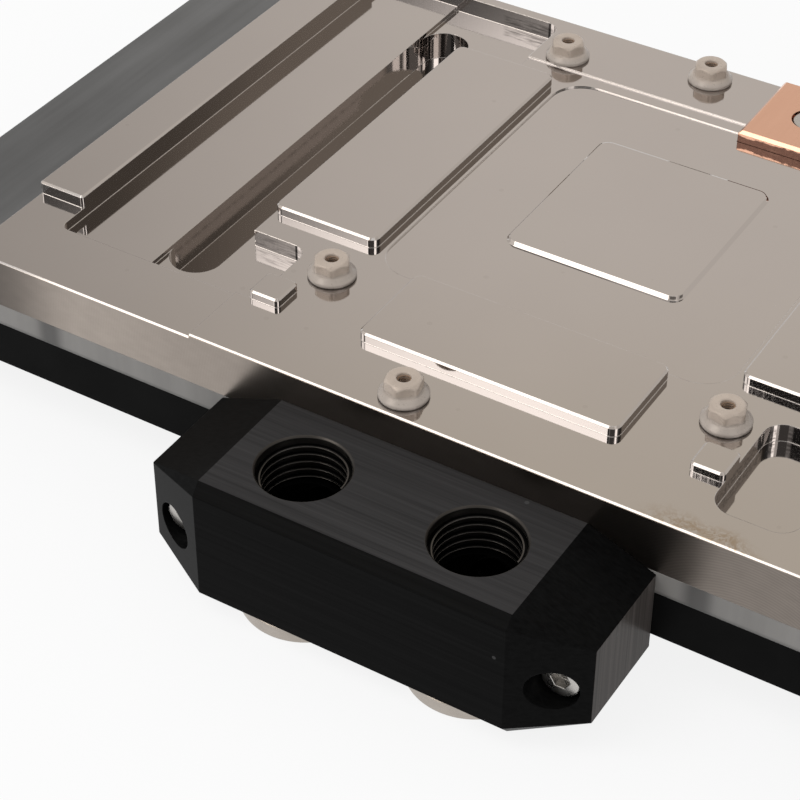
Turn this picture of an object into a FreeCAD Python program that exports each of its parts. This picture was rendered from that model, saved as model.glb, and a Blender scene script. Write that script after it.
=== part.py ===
import FreeCAD, Part
import math
import os
import Sketcher

# Liquid cooling cold plate for a graphics card: a nickel-plated copper plate under a clear
# acrylic cover and a black frame, with a two-port terminal block bolted to the front side.
#
# Frame: the origin is the centre of the raised contact pad and +Z points away from its face,
# towards the chip. +X runs along the plate and -Y points at the terminal. Millimetres.

doc = FreeCAD.newDocument("cold_plate_assembly")
sheet = doc.addObject("Spreadsheet::Sheet", "dims")

DIMENSIONS = [
    # contact pad and the shallow pocket for the chip package around it
    ("pad_size_x", 28.5, "contact pad, along the plate"),
    ("pad_size_y", 31.4, "contact pad, across the plate"),
    ("pad_corner", 1.8, "contact pad corner radius"),
    ("pad_rise", 0.55, "contact face above the package pocket"),
    ("package_depth", 0.24, "package pocket below the base face"),
    ("package_left", 27.75, "package pocket, centre to left edge"),
    ("package_right", 28.55, "package pocket, centre to right edge"),
    ("package_front", 31.3, "package pocket, centre to front edge"),
    ("package_back", 29.1, "package pocket, centre to back edge"),
    ("package_corner", 5.5, "package pocket corner radius"),
    # plate blank
    ("plate_left", 80.75, "centre to the left end of the plate"),
    ("plate_length", 167.7, "plate length"),
    ("plate_front", 58.9, "centre to the front side of the plate"),
    ("plate_depth", 103.7, "plate width, front to back"),
    ("plate_thick", 8.69, "plate underside to base face"),
    ("plate_corner", 2.0, "plate corner radius"),
    ("edge_break", 0.25, "chamfer on the outer top edges"),
    ("terrace_rise", 0.3, "back terrace above the base face"),
    ("terrace_depth", 13.2, "back terrace, front to back"),
    ("rim_drop", 0.5, "left rim below the base face"),
    ("rim_length", 40.1, "left rim, from the left end to the seam"),
    ("rim_width", 11.7, "front rim, plate side to the well"),
    ("back_rim", 1.9, "back rim, plate side to the well"),
    # left rail, well, bays and slot
    ("rail_width", 8.2, "left rail width"),
    ("rail_corner", 0.5, "corner radius of the rail"),
    ("rail_setback", 17.35, "plate front to rail front"),
    ("rail_backset", 4.5, "rail back to plate back"),
    ("well_depth", 2.1, "well floor below the base face"),
    ("well_width", 15.5, "rail to the slot"),
    ("well_corner", 1.5, "well corner radius"),
    ("bay_depth", 2.85, "bay floor below the base face"),
    ("bay_corner", 2.4, "bay corner radius"),
    ("front_bay_reach", 9.65, "front bay past the left land's side"),
    ("front_bay_length", 14.1, "front bay, front to back"),
    ("bay_step_x", 0.9, "jog in the front bay's right wall"),
    ("bay_step_y", 6.8, "front bay front to the jog"),
    ("back_bay_reach", 10.45, "back bay past the left land's side"),
    ("slot_depth", 7.6, "slot floor below the base face"),
    ("slot_width", 8.3, "slot width"),
    ("slot_end_flat", 0.001, "half of the flat between the slot's end arcs"),
    ("slot_setback", 14.9, "plate front to the slot's front end"),
    ("slot_backset", 9.1, "slot's back end to plate back"),
    ("slot_ledge", 1.65, "slot side to the left land's side"),
    # raised contact lands for the memory and power stages
    ("land_rise", 1.6, "lands and rail above the base face"),
    ("land_gap", 58.8, "between the left and right lands"),
    ("land_length", 54.8, "left and right lands, front to back"),
    ("land_shift_x", 0.25, "lands off the pad centre"),
    ("land_shift_y", -0.55, "lands off the pad centre"),
    ("land_corner", 1.4, "corner radius of the lands"),
    ("land_break", 0.3, "chamfer on the lands' top edges"),
    ("front_land_width", 40.8, "front land, along the plate"),
    ("front_land_shift", 0.5, "front land off the pad centre"),
    ("front_land_setback", 11.4, "plate front to front land"),
    ("block_width", 5.1, "small contact blocks, along the plate"),
    ("block_length", 5.4, "small contact blocks, front to back"),
    ("block_rise", 1.38, "small contact blocks above the base face"),
    ("left_block_setback", 11.5, "plate front to the left block"),
    ("right_block_setback", 10.9, "plate front to the right block"),
    ("side_well_left", 36.75, "centre to the side well"),
    ("side_well_width", 12.0, "side well, along the plate"),
    ("side_well_length", 20.5, "side well, front to back"),
    ("side_well_setback", 5.8, "plate front to the side well"),
    ("side_well_corner", 3.2, "side well corner radius"),
    # cooling fins in the underside
    ("fin_slots", 18, "number of slots between the fins"),
    ("fin_pitch", 1.6, "fin pitch"),
    ("fin_gap", 0.8, "slot width between fins"),
    ("fin_slot_length", 38.0, "length of the fin slots"),
    ("fin_height", 2.6, "depth of the fin slots"),
    # nuts pressed into the plate
    ("nut_pitch_x", 62.8, "mounting nuts, along the plate"),
    ("nut_pitch_y", 71.4, "mounting nuts, front to back"),
    ("nut_shift_x", 0.25, "nut pattern off the pad centre"),
    ("nut_shift_y", -0.8, "nut pattern off the pad centre"),
    ("edge_nut_x", -7.95, "edge nuts, off the pad centre"),
    ("edge_nut_front", 4.5, "plate front to the front edge nut"),
    ("edge_nut_back", 4.15, "back edge nut to plate back"),
    ("nut_flange", 3.6, "nut flange radius"),
    ("nut_flange_thick", 1.3, "nut flange thickness at the hexagon"),
    ("nut_flange_slope", 0.75, "bevel on the flange's upper side"),
    ("nut_height", 3.1, "nut top above the plate face"),
    ("nut_flats", 5.0, "nut width across flats"),
    ("nut_corner", 0.7, "rounding of the hexagon's corners"),
    ("nut_shank", 1.9, "nut shank radius"),
    ("nut_shank_length", 2.4, "nut shank length"),
    ("nut_bore", 1.03, "nut thread bore radius"),
    ("nut_mouth", 1.15, "nut countersink radius"),
    ("nut_crown", 2.3, "radius where the nut's crown chamfer begins"),
    ("nut_crown_slope", 1.0, "fall of the crown chamfer for each millimetre outwards"),
    ("nut_flange_round", 0.2, "rounding of the nut flange's lower edge"),
    ("press_gap", 0.05, "clearance round shanks and inserts"),
    ("run_out", 1.0, "how far a cutter runs past an open side"),
    # bare copper spreader block, screwed into a seat at the back
    ("spreader_left", 3.35, "centre to the spreader"),
    ("spreader_width", 16.8, "spreader, along the plate"),
    ("spreader_depth", 17.7, "spreader, front to back"),
    ("spreader_rise", 1.77, "spreader top above the base face"),
    ("spreader_seat", 1.2, "spreader seat below the base face"),
    ("spreader_break", 0.5, "chamfer on the spreader's top edges"),
    ("low_head_radius", 2.7, "low head screw, head radius"),
    ("low_head_height", 1.3, "low head screw, head height"),
    ("low_head_sink", 0.2, "low head below the spreader's face"),
    ("low_screw_length", 4.0, "low head screw, under the head"),
    ("low_key", 2.0, "low head screw socket, across flats"),
    ("low_key_depth", 0.9, "low head screw socket depth"),
    # clear acrylic cover
    ("cover_left", 104.75, "centre to the left end of the cover"),
    ("cover_length", 196.0, "cover and frame length"),
    ("cover_thick", 3.7, "cover slab between plate and frame"),
    ("cover_corner", 3.0, "cover and frame corner radius"),
    ("body_drop", 7.65, "window body below the slab"),
    ("body_gap", 0.2, "window body to frame window"),
    ("channel_floor", 7.0, "channels below the plate"),
    ("channel_width", 8.0, "channel width"),
    ("channel_setback", 6.9, "plate front to the channels"),
    ("crossing_front", 30.0, "centre to the inlet's crossing, front side"),
    ("jet_channel_end", 15.0, "centre to the inlet's far end"),
    ("plenum_inner", 15.0, "centre to the plenums' inner walls"),
    ("plenum_outer", 26.0, "centre to the plenums' outer walls"),
    ("outlet_crossing", 44.0, "centre to the outlet's crossing, front side"),
    ("jet_size_x", 31.0, "jet plate, along the plate"),
    ("jet_size_y", 34.0, "jet plate, front to back"),
    ("jet_thick", 0.6, "jet plate thickness"),
    ("jet_slit_x", 1.6, "jet slit width"),
    ("jet_slit_y", 26.0, "jet slit length"),
    ("seal_half_x", 30.0, "main seal centre line, half length"),
    ("seal_front", 55.3, "main seal centre line, front"),
    ("seal_back", 30.5, "main seal centre line, back"),
    ("seal_width", 2.0, "main seal groove width"),
    ("seal_depth", 1.4, "main seal groove depth"),
    ("seal_corner", 7.0, "main seal centre line corner radius"),
    ("seal_gap", 0.1, "seal side to groove side"),
    ("seal_round", 0.45, "rounding of the seals' section"),
    # black frame
    ("frame_thick", 8.15, "frame thickness"),
    ("window_left", 58.0, "centre to window's left side"),
    ("window_right", 60.0, "centre to window's right side"),
    ("window_front", 47.0, "centre to window's front side"),
    ("window_back", 33.0, "centre to window's back side"),
    ("window_corner", 6.0, "window corner radius"),
    ("frame_break", 0.6, "chamfer on the frame's lower edges"),
    # terminal block with two ports
    ("terminal_centre", -1.05, "middle of the terminal off the pad centre"),
    ("port_pitch", 27.0, "between the two ports"),
    ("port_setback", 10.4, "plate front to the port axes"),
    ("port_radius", 6.58, "G1/4 thread, major radius"),
    ("port_break", 0.25, "chamfer at the port's mouth"),
    ("thread_depth", 7.2, "thread depth from the terminal's top and underside"),
    ("port_middle", 5.2, "radius of the narrower bore between the threads"),
    ("terminal_drop", 5.14, "base face to terminal top"),
    ("terminal_height", 21.26, "terminal height"),
    ("terminal_depth", 21.4, "terminal, back to front face"),
    ("flat_half", 24.0, "half length of the flat middle"),
    ("terminal_half", 34.3, "half length of the terminal"),
    ("end_drop", 4.06, "top face down to the end face"),
    ("end_depth", 16.4, "depth of the end faces"),
    ("bevel_depth", 1.5, "front bevel, along the top"),
    ("bevel_drop", 1.81, "front bevel, down the front"),
    ("end_bevel", 0.08, "front bevel at the end faces, share of the middle's"),
    ("passage_radius", 3.2, "passage between terminal and cover"),
    ("passage_length", 13.0, "passage length in the cover"),
    ("ring_inner", 4.2, "passage seal groove, inner radius"),
    ("ring_outer", 5.9, "passage seal groove, outer radius"),
    ("ring_depth", 1.2, "passage seal groove depth"),
    ("lug_half", 25.0, "half width of the cover's lug"),
    ("clamp_offset", 29.5, "terminal screws off the terminal's middle"),
    ("clamp_drop", 1.1, "terminal screws below the terminal's middle"),
    ("clamp_seat", 13.4, "plate front to the screw heads' seat"),
    ("clamp_length", 20.0, "terminal screw, under the head"),
    ("clamp_bore", 3.3, "terminal screw counterbore radius"),
    # stop plugs in the lower ends of the ports
    ("plug_flange", 9.65, "stop plug flange radius"),
    ("plug_thick", 2.3, "stop plug flange thickness"),
    ("plug_boss", 6.48, "stop plug boss radius"),
    ("plug_boss_length", 6.0, "stop plug boss length"),
    ("plug_round", 0.35, "rounding of the stop plug's rim"),
    ("plug_ring_inner", 6.9, "plug seal groove, inner radius"),
    ("plug_ring_outer", 8.7, "plug seal groove, outer radius"),
    ("plug_ring_depth", 1.2, "plug seal groove depth"),
    ("plug_key", 6.0, "stop plug socket, across flats"),
    ("plug_key_depth", 4.0, "stop plug socket depth"),
    # M3 socket head screws
    ("screw_radius", 1.5, "screw shank radius"),
    ("screw_clear", 1.7, "clearance hole radius"),
    ("screw_head", 2.75, "screw head radius"),
    ("screw_head_height", 3.0, "screw head height"),
    ("screw_key", 2.5, "screw socket, across flats"),
    ("screw_key_depth", 1.5, "screw socket depth"),
    ("head_clear", 0.35, "counterbore radius over head radius"),
    ("head_sink", 0.2, "screw heads below the frame's face"),
    ("frame_screw_length", 12.0, "frame screw, under the head"),
    ("frame_screw_inset", 4.0, "frame screws in from the plate's sides"),
    ("frame_screw_left", 14.3, "left frame screws to the plate's left end"),
    ("frame_screw_right", 6.95, "right frame screws to the plate's right end"),
    ("frame_screw_middle", 39.25, "centre to the middle frame screws"),
    ("frame_screw_extra", 22.0, "centre to the extra back screw"),
    ("cover_screw_length", 8.0, "cover screw, under the head"),
    ("cover_screw_seat", 4.9, "plate underside to cover screw seat"),
    ("cover_screw_x", 38.0, "cover screws off the pad centre"),
    ("cover_row_front", -38.0, "front row of cover screws"),
    ("cover_row_middle", -6.0, "middle row of cover screws"),
    ("cover_row_back", 26.0, "back row of cover screws"),
    ("tip_room", 0.6, "blind hole beyond the screw tip"),
]

for row, (alias, size, note) in enumerate(DIMENSIONS, start=1):
    sheet.set(f"A{row}", note)
    sheet.set(f"B{row}", str(size))
    sheet.setAlias(f"B{row}", alias)
doc.recompute()

# Levels and edges that several pieces share, as expressions on the sheet.
BASE = "(dims.package_depth - dims.pad_rise)"
POCKET = "(0 - dims.pad_rise)"
RIM = f"({BASE} - dims.rim_drop)"
TERRACE = f"({BASE} + dims.terrace_rise)"
LAND_TOP = f"({BASE} + dims.land_rise)"
BLOCK_TOP = f"({BASE} + dims.block_rise)"
UNDERSIDE = f"({BASE} - dims.plate_thick)"
COVER_UNDER = f"({UNDERSIDE} - dims.cover_thick)"
BODY_UNDER = f"({COVER_UNDER} - dims.body_drop)"
FRAME_UNDER = f"({COVER_UNDER} - dims.frame_thick)"
LEFT = "(0 - dims.plate_left)"
RIGHT = f"({LEFT} + dims.plate_length)"
FRONT = "(0 - dims.plate_front)"
BACK = f"({FRONT} + dims.plate_depth)"
RAIL_RIGHT = f"({LEFT} + dims.rail_width)"
WELL_FRONT = f"({FRONT} + dims.rim_width)"
WELL_BACK = f"({BACK} - dims.back_rim)"
SLOT_LEFT = f"({RAIL_RIGHT} + dims.well_width)"
SLOT_RIGHT = f"({SLOT_LEFT} + dims.slot_width)"
ISLAND_LEFT = f"({SLOT_RIGHT} + dims.slot_ledge)"
ISLAND_FRONT = f"({WELL_FRONT} + dims.front_bay_length)"
LAND_FRONT = "(dims.land_shift_y - dims.land_length / 2)"
LAND_BACK = "(dims.land_shift_y + dims.land_length / 2)"
LEFT_LAND_RIGHT = "(dims.land_shift_x - dims.land_gap / 2)"
RIGHT_LAND_LEFT = "(dims.land_shift_x + dims.land_gap / 2)"
LAND_WIDTH = f"({LEFT_LAND_RIGHT} - {ISLAND_LEFT})"
BAY_RIGHT = f"({ISLAND_LEFT} + dims.front_bay_reach)"
BAY_JOG = f"({WELL_FRONT} + dims.bay_step_y)"
BAY_NARROW = f"({BAY_RIGHT} - dims.bay_step_x)"
COVER_LEFT = "(0 - dims.cover_left)"
COVER_RIGHT = f"({COVER_LEFT} + dims.cover_length)"
TERMINAL_TOP = f"({BASE} - dims.terminal_drop)"
TERMINAL_UNDER = f"({TERMINAL_TOP} - dims.terminal_height)"
TERMINAL_MIDDLE = f"({TERMINAL_TOP} - dims.terminal_height / 2)"
PORT_Y = f"({FRONT} - dims.port_setback)"
PORT_X = {side: f"(dims.terminal_centre {sign} dims.port_pitch / 2)"
          for side, sign in (("left", "-"), ("right", "+"))}
CLAMP_X = {side: f"(dims.terminal_centre {sign} dims.clamp_offset)"
           for side, sign in (("left", "-"), ("right", "+"))}
CLAMP_Z = f"({TERMINAL_MIDDLE} - dims.clamp_drop)"
CLAMP_SEAT = f"({FRONT} - dims.clamp_seat)"
HEAD_BORE = "(dims.screw_head + dims.head_clear)"
THREAD_BORE = "(dims.screw_radius + dims.press_gap)"
FRAME_SEAT = f"({FRAME_UNDER} + dims.screw_head_height + dims.head_sink)"
FRAME_HOLE_TOP = f"({FRAME_SEAT} + dims.frame_screw_length + dims.tip_room)"
COVER_SEAT = f"({UNDERSIDE} - dims.cover_screw_seat)"
COVER_HOLE_TOP = f"({COVER_SEAT} + dims.cover_screw_length + dims.tip_room)"
SPREADER_FRONT = f"({BACK} - dims.spreader_depth)"
SPREADER_RIGHT = "(dims.spreader_left + dims.spreader_width)"
SPREADER_TOP = f"({BASE} + dims.spreader_rise)"
SPREADER_SEAT = f"({BASE} - dims.spreader_seat)"
SPREADER_X = "(dims.spreader_left + dims.spreader_width / 2)"
SPREADER_Y = f"({BACK} - dims.spreader_depth / 2)"
LOW_SEAT = f"({SPREADER_TOP} - dims.low_head_sink - dims.low_head_height)"

NUT_LEFT = "(dims.nut_shift_x - dims.nut_pitch_x / 2)"
NUT_RIGHT = "(dims.nut_shift_x + dims.nut_pitch_x / 2)"
NUT_FRONT = "(dims.nut_shift_y - dims.nut_pitch_y / 2)"
NUT_BACK = "(dims.nut_shift_y + dims.nut_pitch_y / 2)"
# Each nut's place, and how far its hexagon was turned when it was pressed in.
FRONT_NUTS = {
    "front_left": (NUT_LEFT, NUT_FRONT, 2.0),
    "front_right": (NUT_RIGHT, NUT_FRONT, 48.5),
    "front_edge": ("dims.edge_nut_x", f"({FRONT} + dims.edge_nut_front)", 41.5),
}
BACK_NUTS = {
    "back_left": (NUT_LEFT, NUT_BACK, 1.5),
    "back_right": (NUT_RIGHT, NUT_BACK, 12.0),
    "back_edge": ("dims.edge_nut_x", f"({BACK} - dims.edge_nut_back)", 55.6),
}
FRONT_ROW = f"({FRONT} + dims.frame_screw_inset)"
BACK_ROW = f"({BACK} - dims.frame_screw_inset)"
SCREW_COLUMNS = [f"({LEFT} + dims.frame_screw_left)", "dims.frame_screw_middle",
                 f"({RIGHT} - dims.frame_screw_right)"]
FRAME_SCREWS = [(x, y) for y in (FRONT_ROW, BACK_ROW) for x in SCREW_COLUMNS]
FRAME_SCREWS.append(("(0 - dims.frame_screw_extra)", BACK_ROW))
COVER_SCREWS = [(f"(0 {side} dims.cover_screw_x)", row) for side in ("-", "+")
                for row in ("dims.cover_row_front", "dims.cover_row_middle", "dims.cover_row_back")]


def value(expression):
    return float(sheet.evalExpression(str(expression)))


def text(expression):
    return f"({expression})"


def origin_plane(body, role):
    return next(item for item in body.Origin.OriginFeatures if item.Role == role)


def new_body(label):
    body = doc.addObject("PartDesign::Body", label)
    body.Label = label
    return body


def new_sketch(body, name, level, role="XY_Plane"):
    """A sketch on one of the body's own planes, moved along the plane's normal to level."""
    sketch = body.newObject("Sketcher::SketchObject", name)
    sketch.AttachmentSupport = [(origin_plane(body, role), "")]
    sketch.MapMode = "FlatFace"
    sketch.setExpression("AttachmentOffset.Base.z", text(level))
    return sketch


def bind(sketch, constraint, expression):
    index = sketch.addConstraint(constraint)
    sketch.setExpression(f"Constraints[{index}]", text(expression))


def pin(sketch, geometry, point, axis, expression):
    kind = "DistanceX" if axis == "x" else "DistanceY"
    bind(sketch, Sketcher.Constraint(kind, -1, 1, geometry, point, value(expression)), expression)


def polygon(sketch, corners):
    """A closed outline through corners, each an (x, y) pair of expressions."""
    points = [FreeCAD.Vector(value(x), value(y), 0) for x, y in corners]
    first = sketch.GeometryCount
    for here, there in zip(points, points[1:] + points[:1]):
        sketch.addGeometry(Part.LineSegment(here, there))
    for index, (x, y) in enumerate(corners):
        following = first + (index + 1) % len(corners)
        sketch.addConstraint(Sketcher.Constraint("Coincident", first + index, 2, following, 1))
        pin(sketch, first + index, 1, "x", x)
        pin(sketch, first + index, 1, "y", y)


def box(sketch, left, right, front, back):
    polygon(sketch, [(left, front), (right, front), (right, back), (left, back)])


def rounded_box(sketch, left, right, front, back, radius):
    """A rectangle between four edges, with all corners rounded alike."""
    x_low, x_high, y_low, y_high, r = map(value, (left, right, front, back, radius))
    first = sketch.GeometryCount
    centres = [(x_high - r, y_low + r, -90), (x_high - r, y_high - r, 0),
               (x_low + r, y_high - r, 90), (x_low + r, y_low + r, 180)]
    starts = [(x_low + r, y_low), (x_high, y_low + r), (x_high - r, y_high), (x_low, y_high - r)]
    ends = [(x_high - r, y_low), (x_high, y_high - r), (x_low + r, y_high), (x_low, y_low + r)]
    for start, end, (cx, cy, turn) in zip(starts, ends, centres):
        sketch.addGeometry(Part.LineSegment(FreeCAD.Vector(*start, 0), FreeCAD.Vector(*end, 0)))
        circle = Part.Circle(FreeCAD.Vector(cx, cy, 0), FreeCAD.Vector(0, 0, 1), r)
        angle = math.radians(turn)
        sketch.addGeometry(Part.ArcOfCircle(circle, angle, angle + math.pi / 2))
    for index in range(8):
        following = first + (index + 1) % 8
        sketch.addConstraint(Sketcher.Constraint("Tangent", first + index, 2, following, 1))
    for index, kind in ((0, "Horizontal"), (2, "Vertical"), (4, "Horizontal"), (6, "Vertical")):
        sketch.addConstraint(Sketcher.Constraint(kind, first + index))
    for index in (3, 5, 7):
        sketch.addConstraint(Sketcher.Constraint("Equal", first + 1, first + index))
    bind(sketch, Sketcher.Constraint("Radius", first + 1, r), radius)
    pin(sketch, first, 1, "y", front)
    pin(sketch, first + 2, 1, "x", right)
    pin(sketch, first + 4, 1, "y", back)
    pin(sketch, first + 6, 1, "x", left)


def circle(sketch, x, y, radius):
    centre = FreeCAD.Vector(value(x), value(y), 0)
    shape = Part.Circle(centre, FreeCAD.Vector(0, 0, 1), value(radius))
    index = sketch.addGeometry(shape)
    bind(sketch, Sketcher.Constraint("Radius", index, value(radius)), radius)
    pin(sketch, index, 3, "x", x)
    pin(sketch, index, 3, "y", y)


def circles(sketch, centres, radius):
    for x, y in centres:
        circle(sketch, x, y, radius)


def disc_ring(sketch, x, y, outer, inner):
    circle(sketch, x, y, outer)
    circle(sketch, x, y, inner)


def hexagon(sketch, flats):
    """A hexagon round the sketch's origin, from its width across flats."""
    half = f"({flats} / 2)"
    corner = f"({flats} / sqrt(3))"
    half_side = f"({flats} / sqrt(12))"
    polygon(sketch, [(corner, "0"), (half_side, half), (f"(0 - {half_side})", half),
                     (f"(0 - {corner})", "0"), (f"(0 - {half_side})", f"(0 - {half})"),
                     (half_side, f"(0 - {half})")])


def add(body, name, level, height, draw, *sizes):
    """Pad from level upwards by height."""
    sketch = new_sketch(body, name + "_outline", level)
    draw(sketch, *sizes)
    pad = body.newObject("PartDesign::Pad", name)
    pad.Profile = sketch
    pad.setExpression("Length", text(height))
    return pad


def cut_above(body, name, level, draw, *sizes):
    """Pocket with its floor at level and open at the top."""
    return cut(body, name, level, True, draw, *sizes)


def cut_below(body, name, level, draw, *sizes):
    """Pocket with its ceiling at level and open underneath."""
    return cut(body, name, level, False, draw, *sizes)


def cut(body, name, level, upwards, draw, *sizes):
    sketch = new_sketch(body, name + "_outline", level)
    draw(sketch, *sizes)
    pocket = body.newObject("PartDesign::Pocket", name)
    pocket.Profile = sketch
    pocket.Type = "ThroughAll"
    pocket.Reversed = upwards
    return pocket


def cut_along_y(body, name, start, depth, draw, *sizes):
    """A pocket of the given depth that runs along +Y from y = start."""
    sketch = new_sketch(body, name + "_outline", f"(0 - {start})", "XZ_Plane")
    draw(sketch, *sizes)
    pocket = body.newObject("PartDesign::Pocket", name)
    pocket.Profile = sketch
    pocket.setExpression("Length", text(depth))
    return pocket


def pierce(body, name, draw, *sizes):
    """A hole right through the body, up and down."""
    pocket = cut(body, name, "0", False, draw, *sizes)
    pocket.Midplane = True
    return pocket


def place(body, x, y, z, axis=(0, 0, 1), turn=0.0):
    """Seat a piece that was drawn round its own origin."""
    body.Placement = FreeCAD.Placement(FreeCAD.Vector(), FreeCAD.Rotation(FreeCAD.Vector(*axis), turn))
    body.setExpression("Placement.Base.x", text(x))
    body.setExpression("Placement.Base.y", text(y))
    body.setExpression("Placement.Base.z", text(z))


def dress(body, kind, name, size, chosen):
    """Chamfer or fillet the edges of the body's shape that the test chosen picks."""
    doc.recompute()
    base = body.Tip
    edges = [f"Edge{k + 1}" for k, edge in enumerate(base.Shape.Edges) if chosen(edge)]
    feature = body.newObject("PartDesign::" + kind, name)
    feature.Base = (base, edges)
    feature.setExpression("Size" if kind == "Chamfer" else "Radius", text(size))
    return feature


def lies_flat_at(edge, level):
    return abs(edge.BoundBox.ZMin - level) < 1e-4 and abs(edge.BoundBox.ZMax - level) < 1e-4


def stands_upright(edge):
    return edge.BoundBox.XLength < 1e-4 and edge.BoundBox.YLength < 1e-4


def is_circle(edge, radius):
    return isinstance(edge.Curve, Part.Circle) and abs(edge.Curve.Radius - radius) < 1e-4


# Cold plate -----------------------------------------------------------------------------------
def make_plate():
    plate = new_body("cold_plate")
    add(plate, "blank", UNDERSIDE, "dims.plate_thick",
        rounded_box, LEFT, RIGHT, FRONT, BACK, "dims.plate_corner")
    cut_above(plate, "left_rim", RIM, box, f"{LEFT} - dims.run_out", f"{LEFT} + dims.rim_length",
              f"{FRONT} - dims.run_out", f"{BACK} + dims.run_out")
    add(plate, "island_blank", RIM, "dims.rim_drop", box, ISLAND_LEFT,
        f"{LEFT} + dims.rim_length + dims.run_out", ISLAND_FRONT, LAND_BACK)
    shape_terrace(plate)
    shape_left_side(plate)
    shape_package_area(plate)
    shape_lands(plate)
    break_outer_edges(plate)
    drill_plate(plate)
    cut_fins(plate)


def shape_terrace(plate):
    """The back terrace reaches over the left rim as well, up to the rail."""
    front = f"{BACK} - dims.terrace_depth"
    add(plate, "terrace", RIM, "dims.rim_drop + dims.terrace_rise", rounded_box,
        LEFT, RIGHT, front, BACK, "dims.plate_corner")


def shape_left_side(plate):
    """Rail, well, two bays and the deep slot left of the chip."""
    well = f"({BASE} - dims.well_depth)"
    bay = f"({BASE} - dims.bay_depth)"
    cut_above(plate, "well", well, rounded_box, RAIL_RIGHT, ISLAND_LEFT, WELL_FRONT, WELL_BACK,
              "dims.well_corner")
    cut_above(plate, "slot_bed", bay, box, SLOT_LEFT, ISLAND_LEFT, WELL_FRONT, WELL_BACK)
    cut_above(plate, "front_bay_wide", bay, rounded_box, SLOT_LEFT, BAY_RIGHT,
              f"{BAY_JOG} - dims.bay_corner", ISLAND_FRONT, "dims.bay_corner")
    cut_above(plate, "front_bay_narrow", bay, box, SLOT_LEFT, BAY_NARROW, WELL_FRONT,
              f"{BAY_JOG} + dims.bay_step_x")
    cut_above(plate, "back_bay", bay, rounded_box, SLOT_LEFT,
              f"{ISLAND_LEFT} + dims.back_bay_reach", LAND_BACK, WELL_BACK, "dims.bay_corner")
    cut_above(plate, "slot", f"{BASE} - dims.slot_depth", rounded_box, SLOT_LEFT, SLOT_RIGHT,
              f"{FRONT} + dims.slot_setback", f"{BACK} - dims.slot_backset",
              "dims.slot_width / 2 - dims.slot_end_flat")
    add(plate, "rail", RIM, "dims.rim_drop + dims.land_rise", rounded_box, LEFT, RAIL_RIGHT,
        f"{FRONT} + dims.rail_setback", f"{BACK} - dims.rail_backset", "dims.rail_corner")


def shape_package_area(plate):
    cut_above(plate, "package_pocket", POCKET, rounded_box, "0 - dims.package_left",
              "dims.package_right", "0 - dims.package_front", "dims.package_back",
              "dims.package_corner")
    add(plate, "contact_pad", POCKET, "dims.pad_rise", rounded_box,
        "0 - dims.pad_size_x / 2", "dims.pad_size_x / 2",
        "0 - dims.pad_size_y / 2", "dims.pad_size_y / 2", "dims.pad_corner")
    cut_above(plate, "side_well", f"{BASE} - dims.bay_depth", rounded_box,
              "dims.side_well_left", "dims.side_well_left + dims.side_well_width",
              f"{FRONT} + dims.side_well_setback",
              f"{FRONT} + dims.side_well_setback + dims.side_well_length",
              "dims.side_well_corner")


def shape_lands(plate):
    """Raised lands that meet the memory and power parts, then their chamfers."""
    add(plate, "left_land", BASE, "dims.land_rise", rounded_box,
        ISLAND_LEFT, LEFT_LAND_RIGHT, LAND_FRONT, LAND_BACK, "dims.land_corner")
    add(plate, "right_land", BASE, "dims.land_rise", rounded_box,
        RIGHT_LAND_LEFT, f"{RIGHT_LAND_LEFT} + {LAND_WIDTH}", LAND_FRONT, LAND_BACK,
        "dims.land_corner")
    add(plate, "front_land", BASE, "dims.land_rise", rounded_box,
        "dims.front_land_shift - dims.front_land_width / 2",
        "dims.front_land_shift + dims.front_land_width / 2",
        f"{FRONT} + dims.front_land_setback", "0 - dims.package_front", "dims.land_corner")
    add(plate, "left_block", BASE, "dims.block_rise", rounded_box,
        BAY_NARROW, f"{BAY_NARROW} + dims.block_width", f"{FRONT} + dims.left_block_setback",
        f"{FRONT} + dims.left_block_setback + dims.block_length", "dims.land_corner / 2")
    add(plate, "right_block", BASE, "dims.block_rise", rounded_box,
        "dims.side_well_left - dims.block_width", "dims.side_well_left",
        f"{FRONT} + dims.right_block_setback",
        f"{FRONT} + dims.right_block_setback + dims.block_length", "dims.land_corner / 2")
    land_top, block_top = value(LAND_TOP), value(BLOCK_TOP)
    dress(plate, "Chamfer", "land_edges", "dims.land_break",
          lambda edge: lies_flat_at(edge, land_top))
    dress(plate, "Chamfer", "block_edges", "dims.land_break",
          lambda edge: lies_flat_at(edge, block_top))


def break_outer_edges(plate):
    front = value(FRONT)
    tops = value(BASE), value(RIM)

    def on_front_edge(edge):
        return (abs(edge.BoundBox.YMin - front) < 1e-4 and edge.BoundBox.YLength < 1e-4
                and any(lies_flat_at(edge, top) for top in tops))

    dress(plate, "Chamfer", "front_edge_break", "dims.edge_break", on_front_edge)


def drill_plate(plate):
    """Holes for the pressed nuts, the spreader's seat and the blind threads from below."""
    for row, nuts, level in (("front", FRONT_NUTS, BASE), ("back", BACK_NUTS, TERRACE)):
        cut_above(plate, row + "_nut_holes", f"{level} - dims.nut_shank_length - dims.tip_room",
                  circles, [nut[:2] for nut in nuts.values()], "dims.nut_shank + dims.press_gap")
    cut_above(plate, "spreader_seat", SPREADER_SEAT, box,
              "dims.spreader_left - dims.press_gap", f"{SPREADER_RIGHT} + dims.press_gap",
              f"{SPREADER_FRONT} - dims.press_gap", f"{BACK} + dims.run_out")
    cut_above(plate, "spreader_thread", f"{LOW_SEAT} - dims.low_screw_length - dims.tip_room",
              circle, SPREADER_X, SPREADER_Y, THREAD_BORE)
    cut_below(plate, "frame_threads", FRAME_HOLE_TOP, circles, FRAME_SCREWS, THREAD_BORE)
    cut_below(plate, "cover_threads", COVER_HOLE_TOP, circles, COVER_SCREWS, THREAD_BORE)


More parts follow.
